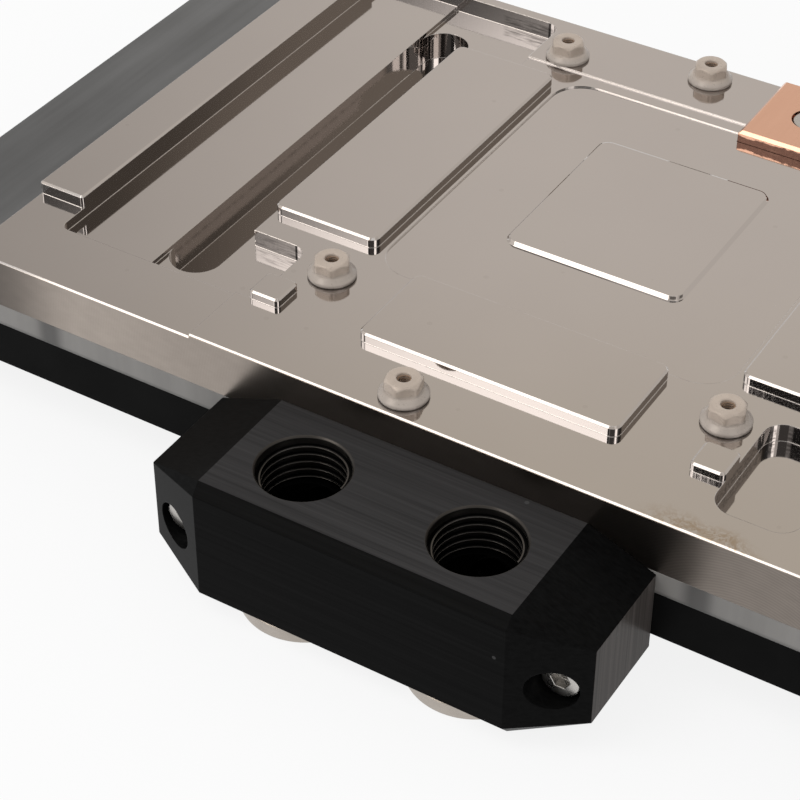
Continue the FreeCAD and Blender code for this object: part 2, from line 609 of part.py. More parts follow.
def cut_fins(plate):
    """Slots along X in the underside, patterned along Y under the contact pad."""
    first = "(0 - dims.fin_pitch * (dims.fin_slots - 1) / 2)"
    slot = cut_below(plate, "fin_slot", f"{UNDERSIDE} + dims.fin_height", box,
                     "0 - dims.fin_slot_length / 2", "dims.fin_slot_length / 2",
                     f"{first} - dims.fin_gap / 2", f"{first} + dims.fin_gap / 2")
    pattern = plate.newObject("PartDesign::LinearPattern", "fins")
    pattern.Originals = [slot]
    pattern.Direction = (slot.Profile[0], ["V_Axis"])
    pattern.setExpression("Length", "dims.fin_pitch * (dims.fin_slots - 1)")
    pattern.setExpression("Occurrences", "dims.fin_slots")
    plate.Tip = pattern


# Pressed nuts and the copper spreader ---------------------------------------------------------
def make_nut(label, x, y, level, turn):
    """A flanged hexagon nut with rounded corners and a shank pressed into the plate."""
    nut = new_body(label)
    add(nut, "hexagon", "0", "dims.nut_height", hexagon, "dims.nut_flats")
    dress(nut, "Fillet", "corners", "dims.nut_corner", stands_upright)
    crown = new_sketch(nut, "crown_outline", "0", "XZ_Plane")
    outside = "(dims.nut_flats / sqrt(3) + dims.run_out)"
    crown_foot = f"(dims.nut_height - ({outside} - dims.nut_crown) * dims.nut_crown_slope)"
    polygon(crown, [("dims.nut_crown", "dims.nut_height"), (outside, "dims.nut_height"),
                    (outside, crown_foot)])
    groove = nut.newObject("PartDesign::Groove", "crown")
    groove.Profile = crown
    groove.ReferenceAxis = (crown, ["V_Axis"])
    add(nut, "flange", "0", "dims.nut_flange_thick", circle, "0", "0", "dims.nut_flange")
    flange_top, flange_radius = value("dims.nut_flange_thick"), value("dims.nut_flange")
    dress(nut, "Chamfer", "flange_slope", "dims.nut_flange_slope",
          lambda edge: lies_flat_at(edge, flange_top) and is_circle(edge, flange_radius))
    dress(nut, "Fillet", "flange_round", "dims.nut_flange_round",
          lambda edge: lies_flat_at(edge, 0) and is_circle(edge, flange_radius))
    add(nut, "shank", "0 - dims.nut_shank_length", "dims.nut_shank_length",
        circle, "0", "0", "dims.nut_shank")
    pierce(nut, "bore", circle, "0", "0", "dims.nut_bore")
    top, bore = value("dims.nut_height"), value("dims.nut_bore")
    dress(nut, "Chamfer", "mouth", "dims.nut_mouth - dims.nut_bore",
          lambda edge: lies_flat_at(edge, top) and is_circle(edge, bore))
    place(nut, x, y, level, turn=turn)


def make_spreader():
    """The bare copper block and the low head screw that holds it in its seat."""
    block = new_body("copper_block")
    add(block, "blank", SPREADER_SEAT, "dims.spreader_rise + dims.spreader_seat",
        box, "dims.spreader_left", SPREADER_RIGHT, SPREADER_FRONT, BACK)
    top = value(SPREADER_TOP)
    dress(block, "Chamfer", "top_edges", "dims.spreader_break", lambda edge: lies_flat_at(edge, top))
    cut_above(block, "head_seat", LOW_SEAT, circle, SPREADER_X, SPREADER_Y,
              "dims.low_head_radius + dims.head_clear")
    pierce(block, "screw_hole", circle, SPREADER_X, SPREADER_Y, "dims.screw_clear")
    screw = new_body("copper_block_screw")
    add(screw, "head", "0", "dims.low_head_height", circle, "0", "0", "dims.low_head_radius")
    add(screw, "shank", "0 - dims.low_screw_length", "dims.low_screw_length",
        circle, "0", "0", "dims.screw_radius")
    cut_above(screw, "socket", "dims.low_head_height - dims.low_key_depth",
              hexagon, "dims.low_key")
    place(screw, SPREADER_X, SPREADER_Y, LOW_SEAT)


# Acrylic cover, jet plate and main seal -------------------------------------------------------
def rounded_ring(sketch, half_width):
    """Two nested rounded rectangles round the main seal's centre line."""
    for sign in ("+", "-"):
        spread = f"{sign} {half_width}"
        back_spread = f"{'-' if sign == '+' else '+'} {half_width}"
        rounded_box(sketch, f"(0 - dims.seal_half_x {back_spread})", f"(dims.seal_half_x {spread})",
                    f"(0 - dims.seal_front {back_spread})", f"(dims.seal_back {spread})",
                    f"(dims.seal_corner {spread})")


def make_cover():
    """Slab under the plate, with a window body and lug that drop into the frame."""
    cover = new_body("acrylic_cover")
    add(cover, "slab", COVER_UNDER, "dims.cover_thick", rounded_box,
        COVER_LEFT, COVER_RIGHT, FRONT, BACK, "dims.cover_corner")
    add(cover, "window_body", BODY_UNDER, "dims.body_drop", rounded_box,
        "dims.body_gap - dims.window_left", "dims.window_right - dims.body_gap",
        "dims.body_gap - dims.window_front", "dims.window_back - dims.body_gap",
        "dims.window_corner - dims.body_gap")
    add(cover, "lug", BODY_UNDER, "dims.body_drop", box,
        "dims.terminal_centre - dims.lug_half", "dims.terminal_centre + dims.lug_half",
        FRONT, "dims.window_corner - dims.window_front")
    cut_channels(cover)
    jet_half_x = "(dims.jet_size_x / 2 + dims.press_gap)"
    jet_half_y = "(dims.jet_size_y / 2 + dims.press_gap)"
    cut_above(cover, "jet_seat", f"{UNDERSIDE} - dims.jet_thick", box,
              f"(0 - {jet_half_x})", jet_half_x, f"(0 - {jet_half_y})", jet_half_y)
    cut_above(cover, "seal_groove", f"{UNDERSIDE} - dims.seal_depth",
              rounded_ring, "dims.seal_width / 2")
    cut_along_y(cover, "passages", FRONT, "dims.passage_length", circles,
                [(x, TERMINAL_MIDDLE) for x in PORT_X.values()], "dims.passage_radius")
    pierce(cover, "screw_holes", circles, FRAME_SCREWS + COVER_SCREWS, "dims.screw_clear")
    cut_below(cover, "head_seats", COVER_SEAT, circles, COVER_SCREWS, HEAD_BORE)


def cut_channels(cover):
    """Inlet to the jet plate, and the outlet that collects from both ends of the fins."""
    floor = f"{UNDERSIDE} - dims.channel_floor"
    start = f"({FRONT} + dims.channel_setback)"
    half = "(dims.channel_width / 2)"
    inlet_left = f"({PORT_X['left']} - {half})"
    inlet_right = f"({PORT_X['left']} + {half})"
    crossing_front = "(0 - dims.crossing_front)"
    crossing_back = "(dims.channel_width - dims.crossing_front)"
    cut_above(cover, "inlet_channel", floor, polygon, [
        (inlet_left, start), (inlet_right, start), (inlet_right, crossing_front),
        (half, crossing_front), (half, "dims.jet_channel_end"), (f"(0 - {half})", "dims.jet_channel_end"),
        (f"(0 - {half})", crossing_back), (inlet_left, crossing_back)])
    outlet_left = f"({PORT_X['right']} - {half})"
    outlet_right = f"({PORT_X['right']} + {half})"
    bend_front = "(0 - dims.outlet_crossing)"
    bend_back = "(dims.channel_width - dims.outlet_crossing)"
    far_back = "dims.plenum_outer"
    near_back = "(dims.plenum_outer - dims.channel_width)"
    cut_above(cover, "outlet_channel", floor, polygon, [
        (outlet_left, start), (outlet_right, start), (outlet_right, bend_front),
        ("dims.plenum_outer", bend_front), ("dims.plenum_outer", far_back),
        ("(0 - dims.plenum_outer)", far_back), ("(0 - dims.plenum_outer)", "(0 - dims.plenum_inner)"),
        ("(0 - dims.plenum_inner)", "(0 - dims.plenum_inner)"), ("(0 - dims.plenum_inner)", near_back),
        ("dims.plenum_inner", near_back), ("dims.plenum_inner", bend_back), (outlet_left, bend_back)])


def make_jet_plate():
    jet = new_body("jet_plate")
    add(jet, "sheet", f"{UNDERSIDE} - dims.jet_thick", "dims.jet_thick", box,
        "0 - dims.jet_size_x / 2", "dims.jet_size_x / 2",
        "0 - dims.jet_size_y / 2", "dims.jet_size_y / 2")
    pierce(jet, "slit", box, "0 - dims.jet_slit_x / 2", "dims.jet_slit_x / 2",
           "0 - dims.jet_slit_y / 2", "dims.jet_slit_y / 2")


def make_main_seal():
    seal = new_body("main_seal")
    add(seal, "ring", f"{UNDERSIDE} - dims.seal_depth", "dims.seal_depth",
        rounded_ring, "(dims.seal_width / 2 - dims.seal_gap)")
    levels = value(UNDERSIDE), value(f"{UNDERSIDE} - dims.seal_depth")
    dress(seal, "Fillet", "section_round", "dims.seal_round",
          lambda edge: any(lies_flat_at(edge, level) for level in levels))


# Black frame ----------------------------------------------------------------------------------
def make_frame():
    frame = new_body("frame")
    add(frame, "blank", FRAME_UNDER, "dims.frame_thick", rounded_box,
        COVER_LEFT, COVER_RIGHT, FRONT, BACK, "dims.cover_corner")
    under = value(FRAME_UNDER)
    dress(frame, "Chamfer", "lower_edges", "dims.frame_break", lambda edge: lies_flat_at(edge, under))
    pierce(frame, "window", rounded_box, "0 - dims.window_left", "dims.window_right",
           "0 - dims.window_front", "dims.window_back", "dims.window_corner")
    pierce(frame, "lug_notch", box,
           "dims.terminal_centre - dims.lug_half - dims.body_gap",
           "dims.terminal_centre + dims.lug_half + dims.body_gap",
           f"{FRONT} - dims.run_out", "dims.window_corner - dims.window_front")
    pierce(frame, "screw_holes", circles, FRAME_SCREWS, "dims.screw_clear")
    cut_below(frame, "head_seats", FRAME_SEAT, circles, FRAME_SCREWS, HEAD_BORE)
    cut_along_y(frame, "terminal_threads", FRONT,
                "dims.clamp_length - dims.clamp_seat + dims.tip_room",
                circles, [(x, CLAMP_Z) for x in CLAMP_X.values()], THREAD_BORE)


# Terminal block, its seals and stop plugs -----------------------------------------------------
def terminal_section(body, name, x, depth, drop, bevel_share):
    """Six-sided section across the terminal, lower by drop at the top and at the bottom."""
    sketch = new_sketch(body, name, x, "YZ_Plane")
    top, under = f"({TERMINAL_TOP} - {drop})", f"({TERMINAL_UNDER} + {drop})"
    face = f"({FRONT} - {depth})"
    bevel, bevel_drop = f"dims.bevel_depth * {bevel_share}", f"dims.bevel_drop * {bevel_share}"
    polygon(sketch, [(FRONT, under), (f"({face} + {bevel})", under),
                     (face, f"({under} + {bevel_drop})"), (face, f"({top} - {bevel_drop})"),
                     (f"({face} + {bevel})", top), (FRONT, top)])
    return sketch


def make_terminal():
    """Faceted block: a ruled loft over two full sections and two smaller end sections."""
    terminal = new_body("terminal")
    full = ("dims.terminal_depth", "0", "1")
    small = ("dims.end_depth", "dims.end_drop", "dims.end_bevel")
    stations = [("left_end", "dims.terminal_centre - dims.terminal_half", small),
                ("left_shoulder", "dims.terminal_centre - dims.flat_half", full),
                ("right_shoulder", "dims.terminal_centre + dims.flat_half", full),
                ("right_end", "dims.terminal_centre + dims.terminal_half", small)]
    sections = [terminal_section(terminal, name, x, *sizes) for name, x, sizes in stations]
    loft = terminal.newObject("PartDesign::AdditiveLoft", "faceted_block")
    loft.Profile = sections[0]
    loft.Sections = sections[1:]
    loft.Ruled = True
    ports = [(x, PORT_Y) for x in PORT_X.values()]
    pierce(terminal, "port_middles", circles, ports, "dims.port_middle")
    cut_above(terminal, "upper_threads", f"{TERMINAL_TOP} - dims.thread_depth",
              circles, ports, "dims.port_radius")
    cut_below(terminal, "lower_threads", f"{TERMINAL_UNDER} + dims.thread_depth",
              circles, ports, "dims.port_radius")
    top, radius = value(TERMINAL_TOP), value("dims.port_radius")
    dress(terminal, "Chamfer", "port_mouths", "dims.port_break",
          lambda edge: lies_flat_at(edge, top) and is_circle(edge, radius))
    clamps = [(x, CLAMP_Z) for x in CLAMP_X.values()]
    passages = [(x, TERMINAL_MIDDLE) for x in PORT_X.values()]
    front_face = f"({FRONT} - dims.terminal_depth)"
    cut_along_y(terminal, "clamp_seats", front_face, "dims.terminal_depth - dims.clamp_seat",
                circles, clamps, "dims.clamp_bore")
    cut_along_y(terminal, "clamp_holes", front_face, "dims.terminal_depth",
                circles, clamps, "dims.screw_clear")
    cut_along_y(terminal, "passages", PORT_Y, "dims.port_setback",
                circles, passages, "dims.passage_radius")
    for side, x in PORT_X.items():
        cut_along_y(terminal, side + "_seal_groove", f"({FRONT} - dims.ring_depth)",
                    "dims.ring_depth", disc_ring, x, TERMINAL_MIDDLE,
                    "dims.ring_outer", "dims.ring_inner")


def make_seal_ring(label, outer, inner, depth, x, y, z, axis=(0, 0, 1), turn=0.0):
    """A round seal, squeezed flat in its groove, drawn round its own origin."""
    seal = new_body(label)
    add(seal, "ring", "0", depth, disc_ring, "0", "0", f"{outer} - dims.seal_gap",
        f"{inner} + dims.seal_gap")
    dress(seal, "Fillet", "section_round", "dims.seal_round",
          lambda edge: isinstance(edge.Curve, Part.Circle))
    place(seal, x, y, z, axis, turn)


def make_stop_plug(label, x):
    """The plug that closes the lower end of a port, with a hexagon socket underneath."""
    plug = new_body(label)
    add(plug, "boss", "0", "dims.plug_boss_length", circle, "0", "0", "dims.plug_boss")
    add(plug, "flange", "0 - dims.plug_thick", "dims.plug_thick",
        circle, "0", "0", "dims.plug_flange")
    rim = value("dims.plug_flange")
    dress(plug, "Fillet", "rim_round", "dims.plug_round", lambda edge: is_circle(edge, rim))
    cut_above(plug, "seal_groove", "0 - dims.plug_ring_depth", disc_ring, "0", "0",
              "dims.plug_ring_outer", "dims.plug_ring_inner")
    cut_below(plug, "socket", "dims.plug_key_depth - dims.plug_thick", hexagon, "dims.plug_key")
    place(plug, x, PORT_Y, TERMINAL_UNDER)


def make_socket_screw(label, length, x, y, z, axis=(0, 0, 1), turn=0.0):
    """A socket head screw that points up, with its head's bearing face on its own origin."""
    screw = new_body(label)
    add(screw, "head", "0 - dims.screw_head_height", "dims.screw_head_height",
        circle, "0", "0", "dims.screw_head")
    add(screw, "shank", "0", length, circle, "0", "0", "dims.screw_radius")
    cut_below(screw, "socket", "dims.screw_key_depth - dims.screw_head_height",
              hexagon, "dims.screw_key")
    place(screw, x, y, z, axis, turn)


make_plate()
for rows, face in ((FRONT_NUTS, BASE), (BACK_NUTS, TERRACE)):
    for name, (nut_x, nut_y, nut_turn) in rows.items():
        make_nut("nut_" + name, nut_x, nut_y, face, nut_turn)
make_spreader()
make_cover()
make_jet_plate()
make_main_seal()
make_frame()
make_terminal()
for port in ("left", "right"):
    make_seal_ring("terminal_seal_" + port, "dims.ring_outer", "dims.ring_inner", "dims.ring_depth",
                   PORT_X[port], f"({FRONT} - dims.ring_depth)", TERMINAL_MIDDLE, (1, 0, 0), -90)
    make_stop_plug("stop_plug_" + port, PORT_X[port])
    make_seal_ring("plug_seal_" + port, "dims.plug_ring_outer", "dims.plug_ring_inner",
                   "dims.plug_ring_depth", PORT_X[port], PORT_Y,
                   f"({TERMINAL_UNDER} - dims.plug_ring_depth)")
    make_socket_screw("terminal_screw_" + port, "dims.clamp_length", CLAMP_X[port], CLAMP_SEAT,
                      CLAMP_Z, (1, 0, 0), -90)
for number, (screw_x, screw_y) in enumerate(FRAME_SCREWS, start=1):
    make_socket_screw(f"frame_screw_{number}", "dims.frame_screw_length", screw_x, screw_y, FRAME_SEAT)
for number, (screw_x, screw_y) in enumerate(COVER_SCREWS, start=1):
    make_socket_screw(f"cover_screw_{number}", "dims.cover_screw_length", screw_x, screw_y, COVER_SEAT)
doc.recompute()

# Every feature is checked before the pieces are written.
for item in doc.Objects:
    if "Invalid" in item.State or "Error" in item.State:
        raise RuntimeError(f"{item.Label} did not build: {item.State}")

os.makedirs("parts", exist_ok=True)
for body in doc.findObjects("PartDesign::Body"):
    shape = body.Shape
    if shape.isNull() or not shape.isValid() or len(shape.Solids) != 1:
        raise RuntimeError(f"{body.Label} is not one valid solid")
    shape.exportStep(f"parts/{body.Label}.step")
    print(body.Label, [round(size, 2) for size in (shape.BoundBox.XLength, shape.BoundBox.YLength,
                                                   shape.BoundBox.ZLength)])
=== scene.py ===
# %% [markdown]
# # Liquid cooling cold plate
# The CAD part is loaded first and stays where it is: a nickel-plated copper plate, six pressed
# nuts, a bare copper block, an acrylic cover, a black frame and a terminal block with two ports.
# This lesson gives each of them its finish and adds the screw threads that the solids leave out.
# Lengths are in metres, and the origin is the centre of the raised contact pad, with +Z upwards.

# %% Load the frame
import math

import bpy
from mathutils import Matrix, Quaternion, Vector


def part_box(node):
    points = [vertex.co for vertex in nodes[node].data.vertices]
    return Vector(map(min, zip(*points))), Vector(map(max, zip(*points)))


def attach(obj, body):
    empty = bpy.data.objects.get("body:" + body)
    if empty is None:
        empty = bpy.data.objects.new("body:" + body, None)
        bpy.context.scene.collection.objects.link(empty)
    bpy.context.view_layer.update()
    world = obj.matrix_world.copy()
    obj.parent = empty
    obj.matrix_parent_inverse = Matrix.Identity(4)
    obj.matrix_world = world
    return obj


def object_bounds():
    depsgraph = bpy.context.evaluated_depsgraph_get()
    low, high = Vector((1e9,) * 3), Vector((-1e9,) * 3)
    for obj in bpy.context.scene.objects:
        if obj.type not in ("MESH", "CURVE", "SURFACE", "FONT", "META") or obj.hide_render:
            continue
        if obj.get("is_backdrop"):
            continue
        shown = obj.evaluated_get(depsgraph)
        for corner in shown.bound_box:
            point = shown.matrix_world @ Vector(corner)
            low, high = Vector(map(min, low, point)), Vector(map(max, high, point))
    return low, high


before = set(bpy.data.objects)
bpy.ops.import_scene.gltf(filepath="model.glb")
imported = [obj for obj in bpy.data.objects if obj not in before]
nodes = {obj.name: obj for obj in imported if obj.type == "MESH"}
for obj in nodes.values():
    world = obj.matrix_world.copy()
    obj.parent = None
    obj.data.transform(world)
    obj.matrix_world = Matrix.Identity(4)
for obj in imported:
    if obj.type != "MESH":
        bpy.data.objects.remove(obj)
cad_low, cad_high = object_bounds()
MM = 0.001
print("nodes:", len(nodes), "size in mm:", [round(v / MM, 1) for v in cad_high - cad_low])


# %% [markdown]
# ## Camera
# The plate is looked at from its front right and from above, through a long lens about a third
# of a metre away. A long lens keeps the plate's sides nearly parallel, as in a catalogue.

# %% Camera
def look(from_point, azimuth, elevation, roll, lens):
    """A camera at from_point. Azimuth 0 looks along +Y, and elevation is how far it looks down."""
    across, down = math.radians(azimuth), math.radians(elevation)
    sight = Vector((-math.sin(across) * math.cos(down), math.cos(across) * math.cos(down), -math.sin(down)))
    data = bpy.data.cameras.new("camera")
    data.lens = lens
    data.sensor_width = 36.0
    data.clip_start = 0.01
    made = bpy.data.objects.new("camera", data)
    made.location = from_point
    made.rotation_mode = "QUATERNION"
    made.rotation_quaternion = sight.to_track_quat("-Z", "Y") @ Quaternion((0, 0, 1), math.radians(roll))
    bpy.context.scene.collection.objects.link(made)
    bpy.context.scene.camera = made
    return made


camera = look(Vector((118.17, -260.8, 197.05)) * MM, 31.55, 39.34, 0.2, 103.6)
bpy.context.scene.view_settings.view_transform = "Standard"
print("camera at", [round(v, 4) for v in camera.location])

# %% [markdown]
# ## Node helpers
# Every finish is a small tree of shader nodes. These helpers keep the trees readable: one adds a
# node and fills its sockets, one does sums, one turns a range into a smooth step, two blend
# colours or values by a mask, and three say where a point of the surface lies.


# %% Node helpers
def fill(target, sockets):
    """Set or link the named or numbered input sockets of a node."""
    for key, given in sockets.items():
        socket = target.inputs[key]
        if isinstance(given, bpy.types.NodeSocket):
            target.id_data.links.new(given, socket)
        else:
            socket.default_value = given
    return target


def node(tree, kind, sockets=None, **settings):
    """Add a shader node with its settings and sockets."""
    made = tree.nodes.new("ShaderNode" + kind)
    for name, setting in settings.items():
        setattr(made, name, setting)
    return fill(made, sockets or {})


def sums(tree, operation, first, second=0.0):
    return node(tree, "Math", {0: first, 1: second}, operation=operation).outputs[0]


def times(tree, *values):
    """The product of several values or masks."""
    product = values[0]
    for value in values[1:]:
        product = sums(tree, "MULTIPLY", product, value)
    return product


def step(tree, value, low, high, new_low=0.0, new_high=1.0):
    """A smooth step from new_low to new_high while value goes from low to high."""
    sockets = {"Value": value, "From Min": low, "From Max": high, "To Min": new_low, "To Max": new_high}
    return node(tree, "MapRange", sockets, interpolation_type="SMOOTHSTEP").outputs["Result"]


def band(tree, value, low, high, edge):
    """1 while value lies between low and high, with soft edges."""
    above, below = step(tree, value, low - edge, low + edge), step(tree, value, high + edge, high - edge)
    return times(tree, above, below)


def blend_colour(tree, mask, first, second):
    mixed = node(tree, "Mix", data_type="RGBA")
    fill(mixed, {0: mask, 6: first, 7: second})
    return mixed.outputs[2]


def blend_value(tree, mask, first, second):
    return node(tree, "Mix", {0: mask, 2: first, 3: second}).outputs[0]


def apart(tree, value, centre):
    """How far value lies from centre, either way."""
    return sums(tree, "ABSOLUTE", sums(tree, "SUBTRACT", value, centre))


def distance(tree, place, centre):
    return node(tree, "VectorMath", {0: place, 1: centre}, operation="DISTANCE").outputs["Value"]


def own_place(tree):
    """The shaded point's X, Y and Z on its piece."""
    return node(tree, "SeparateXYZ", {0: node(tree, "TexCoord").outputs["Object"]}).outputs


def grey(level):
    return (level, level, level, 1)


WHITE = grey(1.0)
print("helpers ready")

# %% [markdown]
# ## Background and floor
# The background and the floor are plain white card. The camera, the mirrors and the clear plastic
# all see them white, while the room's light on the part stays at a plain level. The floor keeps a
# little of its own shading, so the part's soft shadow still shows.


# %% Background and floor
def sees_background(tree):
    """1 for the rays of the camera, of reflections and of clear material."""
    path = node(tree, "LightPath").outputs
    direct = sums(tree, "MAXIMUM", path["Is Camera Ray"], path["Is Glossy Ray"])
    return sums(tree, "MAXIMUM", direct, path["Is Transmission Ray"])


def make_background(level):
    world = bpy.data.worlds.new("white_room")
    bpy.context.scene.world = world
    world.use_nodes = True
    tree = world.node_tree
    tree.nodes.clear()
    room = node(tree, "Background", {"Color": WHITE, "Strength": level})
    white = node(tree, "Background", {"Color": WHITE, "Strength": 1.0})
    mixed = node(tree, "MixShader", {0: sees_background(tree), 1: room.outputs[0], 2: white.outputs[0]})
    node(tree, "OutputWorld", {"Surface": mixed.outputs[0]})


def make_floor(shade, glow_share):
    """A white card just under the stop plugs, the lowest pieces of the object."""
    bpy.ops.object.select_all(action="DESELECT")
    bpy.ops.mesh.primitive_plane_add(size=6.0, location=(0, 0, cad_low.z - 0.1 * MM))
    made = bpy.context.object
    made.name = "floor"
    material = bpy.data.materials.new("white_card")
    material.use_nodes = True
    tree = material.node_tree
    tree.nodes.clear()
    card = node(tree, "BsdfDiffuse", {"Color": grey(shade)})
    glow = node(tree, "Emission", {"Color": WHITE, "Strength": 1.0})
    share = times(tree, sees_background(tree), glow_share)
    both = node(tree, "MixShader", {0: share, 1: card.outputs[0], 2: glow.outputs[0]})
    node(tree, "OutputMaterial", {"Surface": both.outputs[0]})
    made.data.materials.append(material)
    made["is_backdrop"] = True
    return made


make_background(level=0.72)
floor = make_floor(shade=0.82, glow_share=0.86)
print("floor at z =", round(floor.location.z / MM, 2), "mm")

# %% [markdown]
# ## Lamp, cards and softbox
# One large lamp at the front left models the dull pieces. Bare nickel is nearly a mirror, though,
# so what stands round it is most of its look, and in a studio it is surrounded by bent cards:
# a grey one behind that fills the flat faces, a brown one at the back right that darkens the
# right-hand walls, a softbox at the front left that draws white lines along the edges, and dark
# flags between them. Only reflections see them. A real card looks the same to every mirror. Here
# the dark cards are grey in a first reflection, so that the flat faces keep one tone from all
# sides, and dark only from the second reflection on, which is what the walls show.


# %% Lamp
def make_lamp(azimuth, elevation, distance, size, power):
    """A square lamp that faces the part. Azimuth is a compass direction: 0 is +Y, 90 is +X."""
    turn, up = math.radians(azimuth), math.radians(elevation)
    way = Vector((math.sin(turn) * math.cos(up), math.cos(turn) * math.cos(up), math.sin(up)))
    data = bpy.data.lights.new("soft_lamp", "AREA")
    data.shape = "SQUARE"
    data.size = size
    data.energy = power
    lamp = bpy.data.objects.new("soft_lamp", data)
    lamp.location = way * distance
    lamp.rotation_mode = "QUATERNION"
    lamp.rotation_quaternion = way.to_track_quat("Z", "Y")
    lamp.visible_glossy = False
    bpy.context.scene.collection.objects.link(lamp)
    return lamp


lamp = make_lamp(azimuth=212, elevation=52, distance=0.9, size=0.5, power=3.0)
print("lamp at", [round(v, 2) for v in lamp.location])


# %% Bent cards
def bend_card(card, azimuths, elevations, radius=1.0):
    """Lay a flat grid on a drum round the part, between two compass directions and two heights."""
    for vertex in card.data.vertices:
        share_x, share_y = vertex.co.x + 0.5, vertex.co.y + 0.5
        turn = math.radians(azimuths[0] + (azimuths[1] - azimuths[0]) * share_x)
        low, high = (radius * math.tan(math.radians(e)) for e in elevations)
        vertex.co = (radius * math.sin(turn), radius * math.cos(turn), low + (high - low) * share_y)


WARM_TOP, WARM_LOW, BROWN = (1.0, 0.940, 0.880, 1), (1.0, 0.920, 0.800, 1), (1.0, 0.89, 0.78, 1)
UPPER_PART = (0.20, 0.42)
FIRST_TO_SECOND = (1.2, 1.8)


def glow_over_card(tree, levels, slope=(1.0, 0.0), span=(0.0, 1.0), tints=(WHITE, WHITE), fade=1.0,
                   first=None):
    """Emission that goes from one level to another within span, counted along slope, a share of
    the width and of the height. Fade dims the upper part, and first is the first reflection's
    strength."""
    share = node(tree, "SeparateXYZ", {0: node(tree, "TexCoord").outputs["UV"]}).outputs
    way = sums(tree, "ADD", times(tree, share["X"], slope[0]), times(tree, share["Y"], slope[1]))
    height = step(tree, share["Y"], *UPPER_PART)
    strength = times(tree, step(tree, way, *span, *levels), blend_value(tree, height, 1.0, fade))
    colour = blend_colour(tree, height, *tints)
    if first is not None:
        later = step(tree, node(tree, "LightPath").outputs["Ray Depth"], *FIRST_TO_SECOND)
        strength = blend_value(tree, later, first, strength)
        colour = blend_colour(tree, later, WARM_TOP, colour)
    return node(tree, "Emission", {"Color": colour, "Strength": strength})


def make_card(name, azimuths, elevations, levels, **shades):
    """A glowing card that only reflections see, with shades as glow_over_card takes them."""
    bpy.ops.object.select_all(action="DESELECT")
    bpy.ops.mesh.primitive_grid_add(x_subdivisions=24, y_subdivisions=4, size=1.0)
    card = bpy.context.object
    card.name = name
    bend_card(card, azimuths, elevations)
    material = bpy.data.materials.new(name)
    material.use_nodes = True
    tree = material.node_tree
    tree.nodes.clear()
    glow = glow_over_card(tree, levels, **shades)
    node(tree, "OutputMaterial", {"Surface": glow.outputs[0]})
    material.cycles.emission_sampling = "NONE"
    card.data.materials.append(material)
    card.visible_camera = card.visible_diffuse = card.visible_transmission = card.visible_shadow = False
    card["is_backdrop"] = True
    return card


print("ready to bend cards")

# %% Place the cards
cards = [
    make_card("grey_card", (-58, 3), (20, 62), (0.46, 0.76), span=(0.03, 0.50),
              tints=(WARM_TOP, WARM_LOW), fade=0.88),
    make_card("brown_card", (3, 58), (10, 62), (0.33, 0.13), span=(0.50, 0.63), tints=(BROWN, BROWN),
              first=0.70),
    make_card("right_flag", (58, 98), (10, 62), (0.13, 0.35), span=(0.2, 0.7), first=0.62),
    make_card("strip_light", (98, 124), (20, 60), (3.0, 3.0), first=0.90),
    make_card("front_flag", (124, 197), (18, 62), (0.35, 0.03), span=(0.72, 0.84), first=0.62),
    make_card("low_flag", (197, 228), (8, 22), (0.15, 0.15), first=0.70),
    make_card("softbox", (197, 228), (22, 60), (0.15, 3.0), slope=(-0.3, 1.0), span=(-0.05, 0.16),
              first=3.00),
    make_card("side_light", (231, 266), (12, 48), (2.4, 2.4), first=0.90),
    make_card("left_flag", (266, 302), (10, 70), (0.35, 0.35), first=0.66),
]
print("cards:", [card.name for card in cards])


# %% [markdown]
# ## Shared effects
# Several finishes need the same things: streaks left by a cutter or a brush, slow cloudy
# variation, dust, and masks for the way a face looks. Each is a node group, made once and used in
# every material with its own values.

# %% Group maker
def new_group(name, inputs, outputs):
    """An empty node group: inputs are (name, kind, default), outputs are names of values."""
    group = bpy.data.node_groups.new(name, "ShaderNodeTree")
    for label, kind, default in inputs:
        socket = group.interface.new_socket(label, in_out="INPUT", socket_type="NodeSocket" + kind)
        socket.default_value = default
    for label in outputs:
        group.interface.new_socket(label, in_out="OUTPUT", socket_type="NodeSocketFloat")
    given = group.nodes.new("NodeGroupInput").outputs
    result = group.nodes.new("NodeGroupOutput").inputs
    return group, given, result


def spread(group, noise, contrast):
    """Widen a noise round its middle value to a mask from 0 to 1."""
    low = sums(group, "SUBTRACT", 0.5, contrast)
    high = sums(group, "ADD", 0.5, contrast)
    return node(group, "MapRange", {"Value": noise, "From Min": low, "From Max": high}).outputs[0]


def use_group(tree, group, **sockets):
    made = tree.nodes.new("ShaderNodeGroup")
    made.node_tree = group
    return fill(made, sockets).outputs


print("group maker ready")


# %% Streaks, clouds, dust and facing
def streaks_group():
    """Fine lines: a noise pattern squeezed across them and stretched along them."""
    group, given, result = new_group("cutter_streaks", [
        ("Across", "Vector", (1.0, 1.0, 1.0)), ("Scale", "Float", 1000.0),
        ("Contrast", "Float", 0.2)], ["Mask"])
    place = node(group, "TexCoord").outputs["Object"]
    stretched = node(group, "VectorMath", {0: place, 1: given["Across"]}, operation="MULTIPLY").outputs[0]
    noise = node(group, "TexNoise", {"Vector": stretched, "Scale": given["Scale"], "Detail": 4.0,
                                     "Roughness": 0.6}).outputs[0]
    group.links.new(spread(group, noise, given["Contrast"]), result["Mask"])
    return group


def clouds_group():
    """Slow, blotchy variation."""
    group, given, result = new_group("slow_clouds", [
        ("Scale", "Float", 60.0), ("Contrast", "Float", 0.2)], ["Mask"])
    place = node(group, "TexCoord").outputs["Object"]
    noise = node(group, "TexNoise", {"Vector": place, "Scale": given["Scale"], "Detail": 3.0}).outputs[0]
    group.links.new(spread(group, noise, given["Contrast"]), result["Mask"])
    return group


